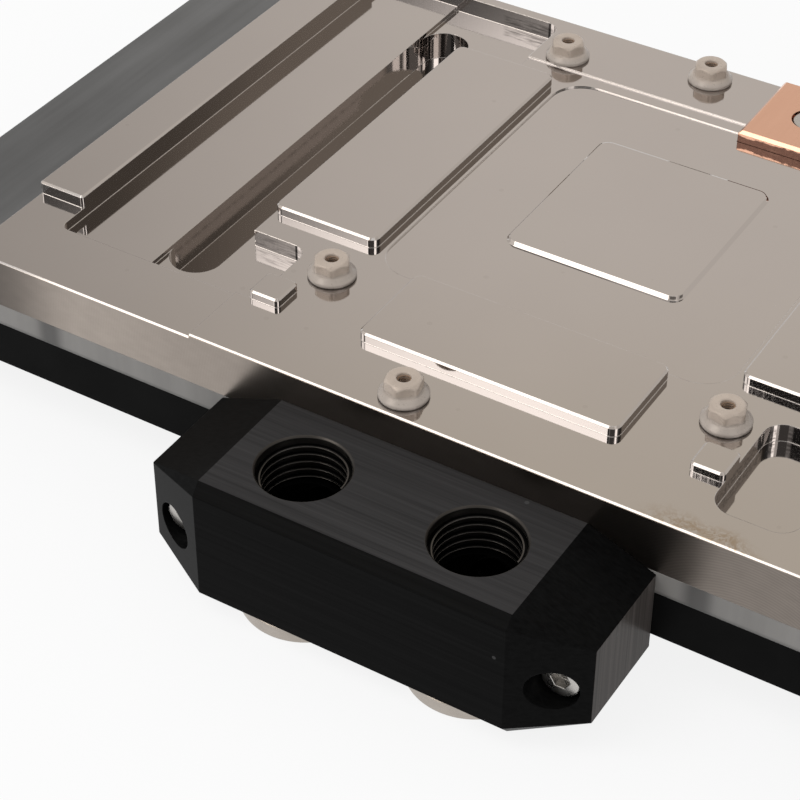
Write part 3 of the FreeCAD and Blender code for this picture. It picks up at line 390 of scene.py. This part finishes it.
def dust_group():
    """Rare small specks: the middles of a few cells of a cell pattern."""
    group, given, result = new_group("dust", [
        ("Scale", "Float", 500.0), ("Rarity", "Float", 0.9)], ["Mask"])
    place = node(group, "TexCoord").outputs["Object"]
    cells = node(group, "TexVoronoi", {"Vector": place, "Scale": given["Scale"]})
    luck = node(group, "SeparateColor", {0: cells.outputs["Color"]}).outputs[0]
    chosen = sums(group, "GREATER_THAN", luck, given["Rarity"])
    size = sums(group, "MULTIPLY", luck, 0.14)
    near = sums(group, "LESS_THAN", cells.outputs["Distance"], size)
    group.links.new(times(group, chosen, near), result["Mask"])
    return group


def facing_group():
    """Masks for faces that look up, to the front, and to either end."""
    group, given, result = new_group("facing", [("Limit", "Float", 0.8)], ["Up", "Front", "End"])
    way = node(group, "SeparateXYZ", {0: node(group, "TexCoord").outputs["Normal"]}).outputs
    full = sums(group, "ADD", given["Limit"], 0.02)
    ways = {"Up": way["Z"], "Front": times(group, way["Y"], -1.0), "End": sums(group, "ABSOLUTE", way["X"])}
    for label, value in ways.items():
        group.links.new(step(group, value, given["Limit"], full), result[label])
    return group


STREAKS, CLOUDS, DUST, FACING = streaks_group(), clouds_group(), dust_group(), facing_group()
print("groups:", [group.name for group in bpy.data.node_groups])


# %% Material starter
def new_material(name, **sockets):
    """A material with one Principled shader, whose plain sockets are set here."""
    material = bpy.data.materials.new(name)
    material.use_nodes = True
    tree = material.node_tree
    tree.nodes.clear()
    shader = node(tree, "BsdfPrincipled")
    for label, given in sockets.items():
        shader.inputs[label.replace("_", " ")].default_value = given
    node(tree, "OutputMaterial", {"Surface": shader.outputs[0]})
    return material, tree, shader


def worked_normal(tree, radius, height, depth):
    """Edges that shine as if rounded, and a height pattern of the given depth on the faces."""
    rounded = node(tree, "Bevel", {"Radius": radius}, samples=6).outputs[0]
    sockets = {"Height": height, "Strength": 1.0, "Distance": depth, "Normal": rounded}
    return node(tree, "Bump", sockets).outputs[0]


print("ready for materials")

# %% [markdown]
# ## Nickel plate
# The plate is copper, milled and then plated with nickel. The plating is bright on the faces that
# an end mill finished. Its walls keep upright cutter marks, and a dull line runs where each wall
# meets its floor, because the cutter's worn corner leaves a small radius there. The front side
# was faced with a larger cutter and is duller, with its arcs on it. A faint brown stain lies near
# the front edge. Some of the shading is painted and isn't a reflection: the front side's tone
# changes along its length, a band of the walls' tool marks is painted dark for the ragged dark
# reflections in them, two dark bands run down the corners that face the front right, and the
# normals lean, by one or two degrees on walls and a few on chamfers. They stand for what the simple
# cards can't give.

# %% Marks on the nickel
FLOOR_LEVELS = [level * MM for level in (-0.31, -0.55, -0.81, -2.41, -3.16, -7.91)]
STAIN_CENTRE, STAIN_RADIUS = (37.5 * MM, -76.3 * MM, 0.0), 18.6 * MM


def wall_foot(tree, turned, height):
    """The line at the foot of a wall: near an inner edge, and just above one of the floors."""
    above = [band(tree, height, level + 0.01 * MM, level + 0.22 * MM, 0.01 * MM)
             for level in FLOOR_LEVELS]
    on_level = above[0]
    for other in above[1:]:
        on_level = sums(tree, "MAXIMUM", on_level, other)
    return times(tree, step(tree, turned, 0.9995, 0.985), on_level)


def brown_stain(tree, place, way):
    """The stain: blotches in a crescent on the front right of the base face."""
    drift = node(tree, "TexNoise", {"Vector": place, "Scale": 240.0, "Detail": 4.0}).outputs["Color"]
    shift = node(tree, "VectorMath", {0: drift, 1: (0.5, 0.5, 0.5)}, operation="SUBTRACT").outputs[0]
    moved = node(tree, "VectorMath", {0: shift, 1: (0.004, 0.004, 0.0), 2: place},
                 operation="MULTIPLY_ADD").outputs[0]
    from_rim = apart(tree, distance(tree, moved, STAIN_CENTRE), STAIN_RADIUS)
    inside = step(tree, from_rim, 3.2 * MM, 0.2 * MM)
    blotch = node(tree, "TexNoise", {"Vector": moved, "Scale": 1300.0, "Detail": 6.0,
                                     "Roughness": 0.7}).outputs[0]
    side = band(tree, way["X"], 32.0 * MM, 55.0 * MM, 5.0 * MM)
    face = band(tree, way["Z"], -0.45 * MM, -0.20 * MM, 0.05 * MM)
    return times(tree, inside, step(tree, blotch, 0.38, 0.60), side, face)


def cutter_arcs(tree, way, centre_x, centre_z, spacing):
    """Rings that a large face cutter leaves on an upright side."""
    flat = node(tree, "CombineXYZ", {0: way["X"], 1: way["Z"], 2: 0.0}).outputs[0]
    ring = distance(tree, flat, (centre_x, centre_z, 0.0))
    wave = sums(tree, "SINE", times(tree, ring, 2 * math.pi / spacing))
    return sums(tree, "ADD", times(tree, wave, 0.5), 0.5)


print("floor levels in mm:", [round(level / MM, 2) for level in FLOOR_LEVELS])


# %% Contact pad edge
PAD_HALF_X, PAD_HALF_Y, PAD_CORNER = 14.25 * MM, 15.7 * MM, 1.8 * MM


def pad_edge(tree, way):
    """A mask of the slope round the contact pad, and the way outwards from the pad."""
    parts = []
    for label, half in (("X", PAD_HALF_X), ("Y", PAD_HALF_Y)):
        beyond = sums(tree, "SUBTRACT", sums(tree, "ABSOLUTE", way[label]), half - PAD_CORNER)
        side = sums(tree, "SIGN", way[label])
        parts.append(times(tree, side, sums(tree, "MAXIMUM", beyond, 0.0)))
    offset = node(tree, "CombineXYZ", {0: parts[0], 1: parts[1], 2: 0.0}).outputs[0]
    reach = node(tree, "VectorMath", {0: offset}, operation="LENGTH").outputs["Value"]
    outwards = node(tree, "VectorMath", {0: offset}, operation="NORMALIZE").outputs[0]
    ring = band(tree, reach, PAD_CORNER - 0.14 * MM, PAD_CORNER + 0.34 * MM, 0.02 * MM)
    return times(tree, ring, step(tree, way["Z"], -0.60 * MM, -0.56 * MM)), outwards


print("pad half sizes in mm:", round(PAD_HALF_X / MM, 2), round(PAD_HALF_Y / MM, 2))


# %% Nickel normals
WALL_LEAN_X, WALL_LEAN_Z = 0.03, 0.022
FOOT_RISE, CHAMFER_RISE, PAD_RISE = 0.95, 0.11, 1.15
MARK_DEPTH = 0.0018 * MM


def nickel_normal(tree, way, masks, rounded, marks):
    """Marks on the walls, polished slopes at edges and feet, and rounding only right at an edge."""
    flat = node(tree, "NewGeometry").outputs["Normal"]
    edge = times(tree, step(tree, masks["turned"], 0.985, 0.93), step(tree, masks["foot"], 0.5, 0.1))
    base = fill(node(tree, "Mix", data_type="VECTOR"), {0: edge, 4: flat, 5: rounded}).outputs[1]
    sockets = {"Height": marks, "Strength": 1.0, "Distance": MARK_DEPTH, "Normal": base}
    bump = node(tree, "Bump", sockets).outputs[0]
    foot, chamfer = times(tree, masks["foot"], FOOT_RISE), times(tree, masks["chamfer"], CHAMFER_RISE)
    rise = sums(tree, "ADD", times(tree, masks["wall"], WALL_LEAN_Z), sums(tree, "ADD", foot, chamfer))
    lean = node(tree, "CombineXYZ", {0: times(tree, masks["wall"], WALL_LEAN_X), 2: rise}).outputs[0]
    leaned = node(tree, "VectorMath", {0: bump, 1: lean}, operation="ADD").outputs[0]
    pad, outwards = pad_edge(tree, way)
    pad_slope = node(tree, "VectorMath", {0: outwards, 1: (0.0, 0.0, PAD_RISE)}, operation="ADD").outputs[0]
    shaped = fill(node(tree, "Mix", data_type="VECTOR"), {0: pad, 4: leaned, 5: pad_slope}).outputs[1]
    return node(tree, "VectorMath", {0: shaped}, operation="NORMALIZE").outputs[0]


print("nickel normals ready")


# %% Nickel colours
# Painted shade: the front side's tone steps along X, standing for the light and shade along it.
SIDE_SHADE_STEPS = ((-76.0, -60.0, 0.140, 0.385), (-58.0, -36.0, 1.0, 0.84), (-20.0, 40.0, 1.0, 0.67))
SIDE_GREEN, SIDE_BLUE = 0.868, 0.765


def side_shade_and_arcs(tree, way, arcs, grain):
    """The dull front side: a painted shade that steps along X, darkest at the left end, with cutter arcs
    that grow stronger to the right.
    """
    tones = [step(tree, way["X"], low * MM, high * MM, *levels) for low, high, *levels in SIDE_SHADE_STEPS]
    arc_depth = step(tree, way["X"], 20.0 * MM, 45.0 * MM, 0.03, 0.16)
    arc_share = times(tree, sums(tree, "SUBTRACT", arcs, 0.5), arc_depth)
    grain_share = times(tree, sums(tree, "SUBTRACT", grain, 0.5), 0.14)
    texture = sums(tree, "ADD", sums(tree, "ADD", arc_share, grain_share), 1.0)
    level = times(tree, *tones, texture)
    parts = {0: level, 1: times(tree, level, SIDE_GREEN), 2: times(tree, level, SIDE_BLUE)}
    return node(tree, "CombineColor", parts).outputs[0]


def nickel_colour(tree, place, way, masks, arcs, clouds):
    """Bright faces, a stain, specks, wall streaks painted dark as reflections, painted dark shade bands on
    the corners, and the dull front side with its painted shade.
    """
    dust = use_group(tree, DUST, Scale=330.0, Rarity=0.93)["Mask"]
    grain = use_group(tree, STREAKS, Across=(0.5, 1.0, 1.0), Scale=700.0, Contrast=0.3)["Mask"]
    passes = use_group(tree, STREAKS, Across=(0.16, 1.0, 1.6), Scale=1500.0, Contrast=0.10)["Mask"]
    bright = blend_colour(tree, clouds, (0.550, 0.514, 0.492, 1), (0.568, 0.531, 0.508, 1))
    stain = times(tree, brown_stain(tree, place, way), 0.8)
    stained = blend_colour(tree, stain, bright, (0.40, 0.31, 0.225, 1))
    dusty = blend_colour(tree, times(tree, dust, masks["up"], 0.12), stained, (0.36, 0.33, 0.30, 1))
    # Painted reflection: in a band of the inner walls, tool-mark streaks are painted near black, standing
    # for the ragged dark reflections in them.
    ragged = times(tree, masks["wall"], band(tree, way["Z"], -2.9 * MM, -1.0 * MM, 0.3 * MM),
                   step(tree, way["X"], -48.0 * MM, -47.0 * MM), passes, 0.75)
    # Painted shade: the dark wall streaks and the dark corner bands darken the colour here.
    shaded = sums(tree, "MAXIMUM", ragged, times(tree, masks["corner"], 0.85))
    marked = blend_colour(tree, shaded, dusty, (0.10, 0.09, 0.085, 1))
    return blend_colour(tree, masks["outer"], marked, side_shade_and_arcs(tree, way, arcs, grain))


print("nickel colours ready")


# %% Nickel
plate_low, plate_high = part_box("cold_plate")
# Painted shade: dark bands go down the upright corners whose faces turn between these angles, counted from
# the front towards the right.
CORNER_SHADES = [[math.radians(side) for side in sides] for sides in ((14.0, 43.0), (59.0, 80.0))]


def nickel_masks(tree, way, rounded):
    """Where the plate's faces are walls, chamfers, feet of walls, corners that get painted dark shade
    bands, or its dull front side.
    """
    true_normal = node(tree, "NewGeometry").outputs["True Normal"]
    both = node(tree, "VectorMath", {0: rounded, 1: true_normal}, operation="DOT_PRODUCT")
    turned = both.outputs["Value"]
    tilt = node(tree, "SeparateXYZ", {0: node(tree, "TexCoord").outputs["Normal"]}).outputs
    front = step(tree, way["Y"], plate_low.y + 0.05 * MM, plate_low.y + 0.02 * MM)
    outer = times(tree, front, step(tree, tilt["Y"], -0.5, -0.8))
    upright = times(tree, step(tree, tilt["Z"], 0.4, 0.2), step(tree, outer, 0.5, 0.0))
    compass = sums(tree, "ARCTAN2", tilt["X"], times(tree, tilt["Y"], -1.0))
    near, far = (band(tree, compass, low, high, 0.02) for low, high in CORNER_SHADES)
    off_right = step(tree, way["X"], plate_high.x - 0.95 * MM, plate_high.x - 1.95 * MM)
    off_back = step(tree, way["Y"], plate_high.y - 0.3 * MM, plate_high.y - 0.8 * MM)
    return {"turned": turned, "outer": outer, "wall": times(tree, upright, off_right, off_back),
            "corner": times(tree, upright, sums(tree, "ADD", near, far)),
            "up": step(tree, tilt["Z"], 0.85, 0.95), "foot": wall_foot(tree, turned, way["Z"]),
            "chamfer": band(tree, tilt["Z"], 0.62, 0.80, 0.03)}


def make_nickel():
    material, tree, shader = new_material("nickel_plating", Metallic=1.0)
    place, way = node(tree, "TexCoord").outputs["Object"], own_place(tree)
    clouds = use_group(tree, CLOUDS, Scale=45.0, Contrast=0.25)["Mask"]
    upright = use_group(tree, STREAKS, Across=(1.0, 1.0, 0.04), Scale=1300.0, Contrast=0.3)["Mask"]
    rounded = node(tree, "Bevel", {"Radius": 0.20 * MM}, samples=6).outputs[0]
    masks = nickel_masks(tree, way, rounded)
    arcs = cutter_arcs(tree, way, 46.0 * MM, -22.0 * MM, 0.45 * MM)
    ragged = step(tree, way["X"], 26.0 * MM, 30.0 * MM, 0.7, 2.6)
    marks = times(tree, upright, masks["wall"], ragged)
    rough = blend_value(tree, masks["outer"], sums(tree, "ADD", 0.05, times(tree, clouds, 0.03)), 0.28)
    fill(shader, {"Base Color": nickel_colour(tree, place, way, masks, arcs, clouds), "Roughness": rough,
                  "Normal": nickel_normal(tree, way, masks, rounded, marks)})
    return material


nickel = make_nickel()
print("made", nickel.name)


# %% [markdown]
# ## Nuts, copper, screws and plugs
# The pressed nuts have a warm, dull skin. The spreader block is bare copper with fine cutter lines
# on top and brown marks on its walls. Screws are steel, either bright or blackened, and the stop
# plugs are turned metal with a dull plating. One recipe serves the screws, the plugs, the nuts'
# bores and the hidden sheet: two close tones, a streak pattern and rounded edges.

# %% Small metal finishes
def make_metal(name, tones, rough, metallic=1.0, across=(1.0, 1.0, 1.0), scale=900.0, depth=0.001,
               edge=0.15):
    """A metal with two close tones, streaks along one way and edges that catch the light."""
    material, tree, shader = new_material(name, Metallic=metallic)
    streaks = use_group(tree, STREAKS, Across=across, Scale=scale, Contrast=0.25)["Mask"]
    clouds = use_group(tree, CLOUDS, Scale=240.0, Contrast=0.25)["Mask"]
    tone = times(tree, sums(tree, "ADD", streaks, clouds), 0.5)
    fill(shader, {"Base Color": blend_colour(tree, tone, *tones),
                  "Roughness": step(tree, streaks, 0.0, 1.0, rough * 0.85, rough * 1.15),
                  "Normal": worked_normal(tree, edge * MM, streaks, depth * MM)})
    return material


def make_nut_skin():
    """A soft sheen, warm on the crown and greyer towards the flange, with painted shade: it is darker lower
    down, and the foot under the flange is painted dark.
    """
    material, tree, shader = new_material("nut_skin", Metallic=0.1)
    way = own_place(tree)
    clouds = use_group(tree, CLOUDS, Scale=500.0, Contrast=0.25)["Mask"]
    grain = use_group(tree, STREAKS, Scale=2500.0, Contrast=0.25)["Mask"]
    # The crown is warmer and lighter than the flange. This is partly the skin's own tint and partly painted
    # shade, darker lower down.
    crown = blend_colour(tree, clouds, (0.44, 0.365, 0.305, 1), (0.53, 0.445, 0.375, 1))
    flange = blend_colour(tree, clouds, (0.375, 0.325, 0.285, 1), (0.445, 0.390, 0.345, 1))
    colour = blend_colour(tree, step(tree, way["Z"], 0.7 * MM, 1.7 * MM), flange, crown)
    # Painted shade: the foot under the flange is painted dark, for the shade in the gap there.
    foot_shaded = blend_colour(tree, step(tree, way["Z"], 0.15 * MM, -0.35 * MM), colour, (0.13, 0.11, 0.095, 1))
    fill(shader, {"Base Color": foot_shaded, "Roughness": step(tree, grain, 0.0, 1.0, 0.26, 0.34),
                  "Normal": worked_normal(tree, 0.45 * MM, grain, 0.003 * MM)})
    return material


def make_copper():
    """Fine cutter lines on top; the walls keep brown marks that thicken towards their feet."""
    material, tree, shader = new_material("bare_copper", Metallic=1.0)
    tilt = node(tree, "SeparateXYZ", {0: node(tree, "TexCoord").outputs["Normal"]}).outputs
    wall = step(tree, tilt["Z"], 0.4, 0.2)
    lines = use_group(tree, STREAKS, Across=(1.0, 0.05, 1.0), Scale=1500.0, Contrast=0.25)["Mask"]
    blots = use_group(tree, STREAKS, Across=(0.30, 0.30, 1.0), Scale=1400.0, Contrast=0.20)["Mask"]
    low = step(tree, own_place(tree)["Z"], 1.20 * MM, 0.10 * MM)
    brown = times(tree, wall, step(tree, sums(tree, "ADD", low, blots), 0.75, 1.05), 0.92)
    clean = blend_colour(tree, lines, (0.785, 0.465, 0.330, 1), (0.82, 0.490, 0.350, 1))
    fill(shader, {"Base Color": blend_colour(tree, brown, clean, (0.11, 0.055, 0.042, 1)),
                  "Roughness": step(tree, lines, 0.0, 1.0, 0.19, 0.25),
                  "Normal": worked_normal(tree, 0.15 * MM, lines, 0.001 * MM)})
    return material


nut_skin = make_nut_skin()
nut_bore = make_metal("nut_bore", ((0.30, 0.20, 0.135, 1), (0.46, 0.33, 0.24, 1)), 0.35,
                      metallic=0.6, edge=0.05)
copper = make_copper()
bright_steel = make_metal("bright_steel", ((0.50, 0.48, 0.46, 1), (0.58, 0.56, 0.53, 1)), 0.28,
                          across=(0.3, 0.3, 0.3), edge=0.25)
black_steel = make_metal("black_steel", (grey(0.012), grey(0.025)), 0.35, metallic=0.5)
plug_metal = make_metal("turned_plug", ((0.40, 0.36, 0.32, 1), (0.50, 0.455, 0.41, 1)), 0.30,
                        across=(0.2, 0.2, 1.0), scale=1800.0, edge=0.3)
sheet_steel = make_metal("sheet_steel", (grey(0.45), grey(0.55)), 0.22)
small_metals = (nut_skin, nut_bore, copper, bright_steel, black_steel, plug_metal, sheet_steel)
print("small metals:", [metal.name for metal in small_metals])


# %% [markdown]
# ## Black parts
# Terminal and frame are aluminium with black anodising. The terminal's flat top keeps brush lines
# from before the anodising, and its ends are brushed upright. The top is painted charcoal and the
# ends paler still, while the slanted faces stay deep black: that difference is painted sheen and
# shade, for the way light falls on each face. Inside the ports the black is painted deeper still,
# as painted shade in the bores. Each mouth has a bare edge, cut after the anodising, and fittings
# have rubbed the crests of the threads bare. The frame is plain satin.

# %% Port places
terminal_low, terminal_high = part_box("terminal")
terminal_middle = (terminal_low.x + terminal_high.x) / 2
PORT_Y, PORT_OFFSET = -69.3 * MM, 13.5 * MM
MOUTH_INNER, MOUTH_OUTER = 6.50 * MM, 6.86 * MM
CREST_INNER, CREST_OUTER = 6.02 * MM, 6.14 * MM
END_REACH = (terminal_high.x - terminal_low.x) / 2


def from_port_axis(tree, way):
    """The distance from the nearer port's axis."""
    along = apart(tree, way["X"], terminal_middle)
    flat = node(tree, "CombineXYZ", {0: along, 1: way["Y"], 2: 0.0}).outputs[0]
    return distance(tree, flat, (PORT_OFFSET, PORT_Y, 0.0))


print("port axes in mm:", [round((terminal_middle + way * PORT_OFFSET) / MM, 2) for way in (-1, 1)])


# %% Black anodising
def make_terminal_black():
    """Painted sheen: a charcoal top and paler ends against deep black slopes; painted shade: blacker bores;
    and bare mouths.
    """
    material, tree, shader = new_material("brushed_anodising", Specular_IOR_Level=0.02)
    way, facing = own_place(tree), use_group(tree, FACING, Limit=0.97)
    along = use_group(tree, STREAKS, Across=(0.012, 1.0, 1.0), Scale=2300.0, Contrast=0.24)["Mask"]
    upright = use_group(tree, STREAKS, Across=(1.0, 1.0, 0.012), Scale=2000.0, Contrast=0.26)["Mask"]
    dust = use_group(tree, DUST, Scale=420.0, Rarity=0.97)["Mask"]
    radius = from_port_axis(tree, way)
    bore = step(tree, radius, MOUTH_OUTER, MOUTH_INNER)
    mouth = band(tree, radius, MOUTH_INNER, MOUTH_OUTER, 0.06 * MM)
    # Painted sheen: the top and the ends get lighter blacks than the slopes, for the way light falls on
    # each face; the streaks in them are brush grain.
    slope = blend_colour(tree, along, grey(0.0025), grey(0.0060))
    top = blend_colour(tree, along, (0.025, 0.024, 0.024, 1), (0.045, 0.043, 0.043, 1))
    end = blend_colour(tree, upright, (0.030, 0.027, 0.025, 1), (0.105, 0.092, 0.086, 1))
    far_out = step(tree, apart(tree, way["X"], terminal_middle), END_REACH - 0.2 * MM, END_REACH - 0.1 * MM)
    high_up = step(tree, way["Z"], terminal_high.z - 0.10 * MM, terminal_high.z - 0.05 * MM)
    at_end, at_top = times(tree, facing["End"], far_out), times(tree, facing["Up"], high_up)
    colour = blend_colour(tree, at_end, blend_colour(tree, at_top, slope, top), end)
    specked = blend_colour(tree, times(tree, dust, 0.4), colour, grey(0.10))
    # Painted shade: the bores are painted blacker than the rest, for the shade inside the ports.
    port_shaded = blend_colour(tree, bore, specked, grey(0.0008))
    edged = blend_colour(tree, mouth, port_shaded, (0.058, 0.054, 0.050, 1))
    height = blend_value(tree, at_end, along, upright)
    fill(shader, {"Base Color": edged, "Metallic": times(tree, mouth, 0.9),
                  "Roughness": blend_value(tree, facing["Up"], 0.30, 0.42),
                  "Normal": worked_normal(tree, 0.20 * MM, height, 0.003 * MM)})
    return material


def make_thread_black():
    """Deep black flanks; the fittings have rubbed the crests bare, so they glint."""
    material, tree, shader = new_material("thread_black", Specular_IOR_Level=0.02)
    streaks = use_group(tree, STREAKS, Across=(0.2, 0.2, 1.0), Scale=900.0, Contrast=0.25)["Mask"]
    crest = step(tree, from_port_axis(tree, own_place(tree)), CREST_OUTER, CREST_INNER)
    bare = blend_colour(tree, streaks, (0.085, 0.080, 0.075, 1), (0.115, 0.108, 0.101, 1))
    fill(shader, {"Base Color": blend_colour(tree, crest, grey(0.0010), bare),
                  "Metallic": crest, "Roughness": 0.16,
                  "Normal": worked_normal(tree, 0.16 * MM, streaks, 0.001 * MM)})
    return material


def make_frame_black():
    material, tree, shader = new_material("satin_black", Specular_IOR_Level=0.025)
    clouds = use_group(tree, CLOUDS, Scale=130.0, Contrast=0.25)["Mask"]
    grain = use_group(tree, STREAKS, Scale=4200.0, Contrast=0.2)["Mask"]
    dust = use_group(tree, DUST, Scale=300.0, Rarity=0.97)["Mask"]
    colour = blend_colour(tree, clouds, grey(0.0025), grey(0.0050))
    specked = blend_colour(tree, times(tree, dust, 0.4), colour, grey(0.10))
    fill(shader, {"Base Color": specked, "Roughness": step(tree, grain, 0.0, 1.0, 0.40, 0.50),
                  "Normal": worked_normal(tree, 0.25 * MM, grain, 0.002 * MM)})
    return material


terminal_black = make_terminal_black()
frame_black = make_frame_black()
thread_black = make_thread_black()
print("black finishes made")

# %% [markdown]
# ## Acrylic and rubber
# The cover is clear acrylic over the black frame. Its polished top shows long soft streaks, and
# its sawn edge is frosted and pale, with dark stripes painted where the black screws stand behind
# it. The places of those screws come from the CAD nodes. Rubber seals are plain black.


# %% Acrylic and rubber
def screw_columns():
    """Where the frame screws of the front row stand, along X."""
    boxes = [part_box(name) for name in nodes if name.startswith("frame_screw")]
    return [(low.x + high.x) / 2 for low, high in boxes if high.y < 0]


def make_acrylic():
    """Streaked top, frosted edge, and a painted dark stripe on the edge in front of each screw, for the
    screw seen through it.
    """
    material, tree, shader = new_material("acrylic", Metallic=0.0, IOR=1.49, Transmission_Weight=0.25)
    way, facing = own_place(tree), use_group(tree, FACING, Limit=0.5)
    streaks = use_group(tree, STREAKS, Across=(1.0, 0.06, 1.0), Scale=110.0, Contrast=0.16)["Mask"]
    haze = use_group(tree, CLOUDS, Scale=30.0, Contrast=0.3)["Mask"]
    tone = times(tree, sums(tree, "ADD", streaks, haze), 0.5)
    top = blend_colour(tree, tone, (0.065, 0.066, 0.066, 1), (0.20, 0.20, 0.20, 1))
    sawn = use_group(tree, STREAKS, Across=(1.0, 1.0, 0.1), Scale=160.0, Contrast=0.3)["Mask"]
    edge = blend_colour(tree, sawn, (0.215, 0.205, 0.195, 1), (0.34, 0.325, 0.31, 1))
    # Painted: each dark stripe on the edge stands for a black screw seen through the plastic, which the
    # clear material doesn't show.
    for column in screw_columns():
        near = step(tree, apart(tree, way["X"], column), 3.2 * MM, 0.6 * MM)
        shade = times(tree, near, facing["Front"], 0.8)
        edge = blend_colour(tree, shade, edge, (0.055, 0.052, 0.050, 1))
    foot = times(tree, step(tree, way["Z"], -12.0 * MM, -12.6 * MM), 0.5)
    edge = blend_colour(tree, foot, edge, (0.08, 0.078, 0.075, 1))
    fill(shader, {"Base Color": blend_colour(tree, facing["Up"], edge, top),
                  "Roughness": blend_value(tree, facing["Up"], 0.36, 0.14),
                  "Normal": worked_normal(tree, 0.25 * MM, sawn, 0.002 * MM)})
    return material


rubber = make_metal("seal_rubber", (grey(0.012), grey(0.022)), 0.60, metallic=0.0, scale=3000.0)
acrylic = make_acrylic()
print("screw columns in mm:", [round(x / MM, 1) for x in sorted(screw_columns())])

# %% [markdown]
# ## Put the finishes on the CAD nodes
# Each node has one material slot, which takes the new finish. Names that start alike share it.

# %% Dress the nodes
FINISHES = [("cold_plate", nickel), ("nut_", nut_skin), ("copper_block_screw", bright_steel),
            ("copper_block", copper), ("acrylic_cover", acrylic), ("jet_plate", sheet_steel),
            ("main_seal", rubber), ("terminal_seal", rubber), ("plug_seal", rubber),
            ("frame_screw", black_steel), ("cover_screw", black_steel), ("frame", frame_black),
            ("terminal_screw", bright_steel), ("terminal", terminal_black), ("stop_plug", plug_metal)]


def dress(name, piece):
    finish = next(finish for start, finish in FINISHES if name.startswith(start))
    if not piece.material_slots:
        piece.data.materials.append(finish)
    for slot in piece.material_slots:
        slot.material = finish
    return finish.name


print("finishes used:", sorted({dress(name, piece) for name, piece in nodes.items()}))


# %% [markdown]
# ## Screw threads
# A thread is a ridge that climbs round the bore. The Screw modifier makes one from a small
# profile: it carries the profile round the axis and down by one pitch for each turn. The profile
# starts as an upright square. It is stretched to the thread's depth and pitch, and its inner side
# is squeezed to a narrow crest. The outer side reaches just into the bore's wall. Both ports and
# all six nuts get one.

# %% Thread maker
def select_side(piece, inner):
    """Select the profile's inner side, which lies at negative X, or its outer side."""
    bpy.ops.object.mode_set(mode="OBJECT")
    for vertex in piece.data.vertices:
        vertex.select = (vertex.co.x < 0) == inner
    bpy.ops.object.mode_set(mode="EDIT")


def thread_profile(name, place, depth, wall, pitch, crest_share):
    """A thin four-sided section that stands at the bore's wall, beside its axis at place."""
    bpy.ops.object.select_all(action="DESELECT")
    bpy.ops.mesh.primitive_plane_add(size=1.0, location=place, rotation=(math.pi / 2, 0, 0))
    ridge = bpy.context.object
    ridge.name = name
    bpy.ops.object.transform_apply(location=False, rotation=True, scale=True)
    bpy.ops.object.mode_set(mode="EDIT")
    bpy.ops.mesh.select_mode(type="VERT")
    bpy.ops.mesh.select_all(action="SELECT")
    bpy.ops.transform.resize(value=(depth, 1.0, pitch * 0.94))
    select_side(ridge, inner=True)
    bpy.ops.transform.resize(value=(1.0, 1.0, crest_share))
    bpy.ops.mesh.select_all(action="SELECT")
    bpy.ops.transform.translate(value=(wall - depth / 2, 0.0, 0.0))
    bpy.ops.object.mode_set(mode="OBJECT")
    return ridge


def close_ends(ridge):
    """Cap the open ends of a swept piece and turn its faces outwards."""
    bpy.ops.object.mode_set(mode="EDIT")
    bpy.ops.mesh.select_mode(type="EDGE")
    bpy.ops.mesh.select_all(action="SELECT")
    bpy.ops.mesh.remove_doubles(threshold=1e-7)
    bpy.ops.mesh.select_all(action="DESELECT")
    bpy.ops.mesh.select_non_manifold(extend=False, use_boundary=True, use_multi_face=False,
                                     use_non_contiguous=False, use_verts=False)
    bpy.ops.mesh.fill_holes(sides=8)
    bpy.ops.mesh.select_all(action="SELECT")
    bpy.ops.mesh.normals_make_consistent(inside=False)
    bpy.ops.object.mode_set(mode="OBJECT")


def make_thread(name, place, sizes, turns, steps, material):
    """An inside thread that goes down from place, with sizes as thread_profile takes them."""
    ridge = thread_profile(name, place, *sizes)
    screw = ridge.modifiers.new("climb", "SCREW")
    screw.axis = "Z"
    screw.angle = 2 * math.pi
    screw.screw_offset = -sizes[2]
    screw.iterations = turns
    screw.steps = screw.render_steps = steps
    screw.use_merge_vertices = False
    bpy.ops.object.modifier_apply(modifier=screw.name)
    close_ends(ridge)
    bpy.ops.object.shade_smooth_by_angle(angle=math.radians(40))
    bpy.ops.object.transform_apply(location=True, rotation=True, scale=True)
    ridge.data.materials.append(material)
    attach(ridge, "root")
    return ridge


print("thread maker ready")

# %% Port threads
CREST_SHARE = 0.14
PORT_WALL, PORT_DEPTH, PORT_PITCH = 6.60 * MM, 0.72 * MM, 1.337 * MM
port_threads = [
    make_thread("port_thread_" + side, (terminal_middle + offset, PORT_Y, terminal_high.z - 0.92 * MM),
                (PORT_DEPTH, PORT_WALL, PORT_PITCH, CREST_SHARE), 5, 72, thread_black)
    for side, offset in (("left", -PORT_OFFSET), ("right", PORT_OFFSET))]
print("port threads:", [len(thread.data.polygons) for thread in port_threads])

# %% Nut threads
NUT_WALL, NUT_DEPTH, NUT_PITCH = 1.04 * MM, 0.19 * MM, 0.45 * MM


def thread_nut(name):
    low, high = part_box(name)
    place = ((low.x + high.x) / 2, (low.y + high.y) / 2, high.z - 0.38 * MM)
    return make_thread("thread_" + name, place, (NUT_DEPTH, NUT_WALL, NUT_PITCH, CREST_SHARE), 8, 32,
                       nut_bore)


nut_threads = [thread_nut(name) for name in sorted(nodes) if name.startswith("nut_")]
print("nut threads:", len(nut_threads))

# %% Finish
now_low, now_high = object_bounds()
before_and_after = zip([*cad_low, *cad_high], [*now_low, *now_high])
print("bounds kept:", all(abs(before - after) < 1e-6 for before, after in before_and_after))
